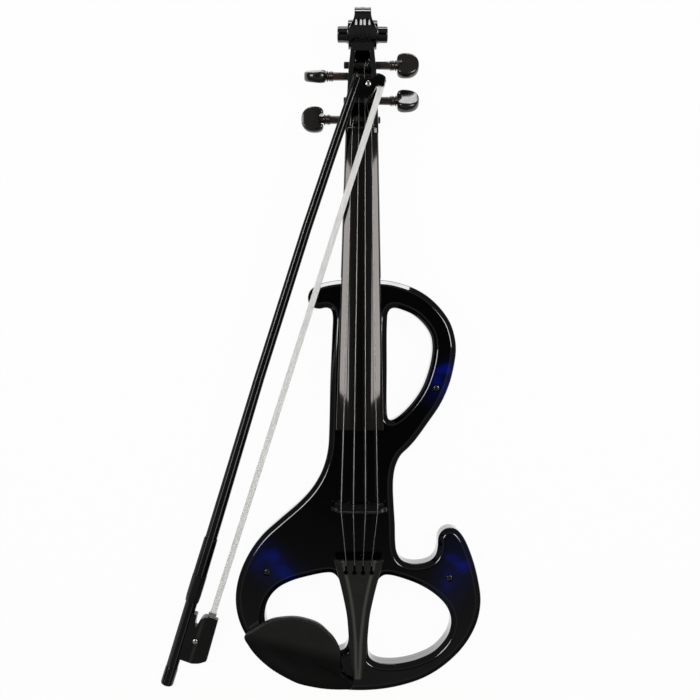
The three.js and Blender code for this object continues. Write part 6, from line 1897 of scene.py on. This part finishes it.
print('body')
fitted(makeFrontShell(), 'violin', burstGloss, ['front_shell'])
fitted(makeBackShell(), 'violin', gloss, ['back_shell'])
print('neck')
fitted(makeNeck(), 'violin', gloss, ['neck'])
fitted(makeFingerboard(), 'violin', boardBlack, ['fingerboard'])
fitted(makeNut(), 'violin', boardBlack, ['nut'])
print('fittings')
fitted(makeBridge(), 'violin', bridgeSatin, ['bridge'])
fitted(makeTailpiece(), 'violin', tailSatin, ['tailpiece'])
fitted(makeChinRest(), 'violin', chinSatin, ['chin_rest'])
print('pegs and strings')
windingTree = makeWindingTree()
for s in strings:
    key = s['name']
    fitted(makePeg(s), 'peg_' + key, pegWood, ['peg_' + key])
    fitted(makeWinding(windingTree, s, wound), 'peg_' + key, wound, ['winding_' + key], 60)
    fitted(rawPiece('string_line_' + key, tube(stringPath(s), s['radius'])), 'violin',
           wound, ['string_' + key])
print('screws')
screwHead = makeScrewHead()
screwTree = makeScrewTree()
sink = screws['sink']
bodyRows = [upright(p, body['thickness'] - sink, 7) for p in frontScrewPlaces]
bodyRows += [upright(p, sink, 30.5) for p in chinScrewPlaces]
bodyRows.append(upright(Vector(body['tailScrew']), sink, 31.5))
bodyRows += [upright(p, screws['boltSink'], 30.5, screws['boltHeadRadius'] / screws['headRadius'])
             for p in neckBoltPlaces]
for name, rows, rider, nodes in (
        ('cross_head_screws', bodyRows, 'violin',
         ['body_screw_1', 'body_screw_2', 'body_screw_3', 'chin_rest_screw_1', 'chin_rest_screw_2',
          'tailpiece_screw', 'neck_bolt_1', 'neck_bolt_2', 'neck_bolt_3']),
        ('frog_eye_screw', [bowScrewRow(bow['frogScrewX'], bow['eyeAlong'], bow['frogHalf'])],
         'frog', ['frog_screw']),
        ('bow_tip_screw', [bowScrewRow(*bow['tipScrew'], bow['headHalf'])], 'bow',
         ['bow_head_screw'])):
    metal = blackedSteel if rider == 'violin' else silver
    fitted(makeScrews(name, screwTree, screwHead, rows, metal), rider, metal, nodes)
bpy.data.objects.remove(screwHead)
print('bow')
fitted(makeBowStick(), 'bow', bowSatin, ['bow_stick'])
fitted(makeSleeve('thumb_grip', bow['grip'], bow['gripInside'], 0.7), 'bow',
       gripSatin, ['bow_grip'])
fitted(makeSleeve('bow_lapping_sleeve', bow['lapping'], bow['lappingInside'], 0.6), 'bow',
       bowSatin, ['bow_lapping'])
fitted(makeFrog(), 'frog', frogSatin, ['bow_frog'])
fitted(makeFerrule(), 'frog', silver, ['bow_ferrule'])
fitted(makeHair(strand), 'frog', strand, ['bow_hair'], 50)
fitted(makeBowScrew(), 'bow_screw', bowSatin, ['bow_screw'])
print('controls')
fitted(makeDoor(), 'battery_door', gloss, ['battery_door'])
fitted(makeKnob(), 'volume_control', knobSatin, ['volume_knob'])
fitted(makeSlider(), 'power_slider', knobSatin, ['power_slider'])

# what is left keeps the frame's shape: which finish each such piece takes
inner = {
    'piezo_pickup': brass, 'battery': can, 'battery_snap': rubber, 'preamp_board': circuit,
    'volume_pot': steel, 'power_switch': steel, 'volume_shaft': brass, 'line_jack': knobSatin,
    'jack_nut': steel, 'battery_lead': rubber, 'pickup_lead': rubber, 'jack_lead': rubber,
    'bow_eyelet': brass,
# the ball ends, which are brass, take the dark screw steel: painted shade, keeping them as dark as the
# shade under the tailpiece
} | {'ball_end_' + s['name']: blackedSteel for s in strings}
for name, finish in inner.items():
    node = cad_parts[name]
    if not node.material_slots:
        node.data.materials.append(finish)
    for slot in node.material_slots:
        slot.material = finish


# Camera and studio

studio = {
    'lens': 50, 'sensor': 36, 'reach': 20, 'camera': (-0.0089, 0.13553, 0.8735), 'roll': 0.43,
    # centre, what it is turned to, width, height, radiance
    'lamps': {'leftSoftbox': ((-930, 467, 1200), (0, 467, 30), 576, 600, 7.5),
              'rightSoftbox': ((930, 471, 1200), (0, 471, 30), 588, 600, 7.5),
              'topSoftbox': ((0, 1900, 205), (0, 150, 30), 1500, 185, 9)},
    # dark overhead, so that black lacquer facing the camera stays black, and pale lower down
    'sky': [(0.0, 0.07), (0.2, 0.06), (0.5, 0.1), (0.7, 0.16), (0.866, 0.18), (0.945, 0.12),
            (0.975, 0.045), (0.992, 0.012)], 'soft': 0.3,
    'paper': 0.85, 'mirroredPaper': 0.96, 'dusk': 0.03, 'floorLevel': -0.6, 'floorHalf': 4000,
    # the paper is pale between the second numbers and has fallen away at the first
    'acrossFade': (360, 260), 'lowFade': (-235, -190), 'highFade': (700, 560),
}
white = colour(1, 1, 1)


def placeCamera():
    camera = bpy.data.objects.new('camera', bpy.data.cameras.new('camera'))
    scene.collection.objects.link(camera)
    camera.data.lens = studio['lens']
    camera.data.sensor_width = studio['sensor']
    camera.data.clip_end = studio['reach']
    camera.location = studio['camera']
    camera.rotation_euler = (0, 0, radians(studio['roll']))
    scene.camera = camera
    scene.view_settings.view_transform = 'Standard'


def softbox(name, centre, target, width, height, radiance):
    lamp = bpy.data.lights.new(name, 'AREA')
    lamp.shape = 'RECTANGLE'
    lamp.size, lamp.size_y = width * toMetres, height * toMetres
    lamp.energy = radiance * pi * width * height * toMetres ** 2
    holder = bpy.data.objects.new(name, lamp)
    holder.location = Vector(centre) * toMetres
    holder.rotation_euler = (Vector(target) - Vector(centre)).to_track_quat('-Z', 'Y').to_euler()
    scene.collection.objects.link(holder)


def rayKinds(nodes):
    # tells rays that look, mirror and pass through from the others
    path = nodes.node('ShaderNodeLightPath')
    return [Reading(nodes, path.socket.node.outputs['Is ' + name + ' Ray'])
            for name in ('Camera', 'Glossy', 'Transmission')]


def mixed(nodes, factor, first, second):
    return nodes.node('ShaderNodeMixShader', None, {'Fac': factor, 1: first, 2: second})


def makeAir():
    scene.world = bpy.data.worlds.new('studio')
    air = NodeSet(scene.world)
    looking, mirroring, passing = rayKinds(air)
    height = air.axes(air.node('ShaderNodeTexCoord', output='Generated'))[2].clamped()
    tones = [(place, colour(tone, tone, tone)) for place, tone in studio['sky']]
    sky = air.node('ShaderNodeBackground', None, {
        'Color': air.node('ShaderNodeValToRGB', {'stops': tones}, {'Fac': height})})
    soft, seen = [air.node('ShaderNodeBackground', None, {'Color': white, 'Strength': strength})
                  for strength in (studio['soft'], 1)]
    lit = mixed(air, mirroring, soft, sky)
    air.node('ShaderNodeOutputWorld', None, {
        'Surface': mixed(air, (looking + passing).clamped(), lit, seen)})


def makeFloor():
    material = bpy.data.materials.new('studio_floor')
    paper = NodeSet(material)
    looking, mirroring, passing = rayKinds(paper)
    tone = studio['paper']
    paint = paper.node('ShaderNodeBsdfDiffuse', None, {'Color': colour(tone, tone, tone)})
    glow, dusk = [paper.node('ShaderNodeEmission', None, {'Color': white, 'Strength': strength})
                  for strength in (1, studio['dusk'])]
    seen = (looking + mirroring + passing).clamped() * studio['mirroredPaper']
    # the paper is pale round the object and falls away beyond the picture
    x, y, z = paper.axes(paper.coordinates())
    near = (x.math('ABSOLUTE').ramp(*studio['acrossFade']) * y.ramp(*studio['lowFade'])
            * y.ramp(*studio['highFade']))
    paper.node('ShaderNodeOutputMaterial', None, {
        'Surface': mixed(paper, mirroring * (1 - near), mixed(paper, seen, paint, glow), dusk)})
    far, level = studio['floorHalf'], studio['floorLevel']
    corners = [Vector((x, y, level)) for x, y in ((-far, -far), (far, -far), (far, far), (-far, far))]
    studioFloor = rawPiece('studioFloor', (corners, [[0, 1, 2, 3]]))
    studioFloor.data.materials.append(material)


print('studio')
placeCamera()
for name, lamp in studio['lamps'].items():
    softbox(name, *lamp)
makeAir()
makeFloor()
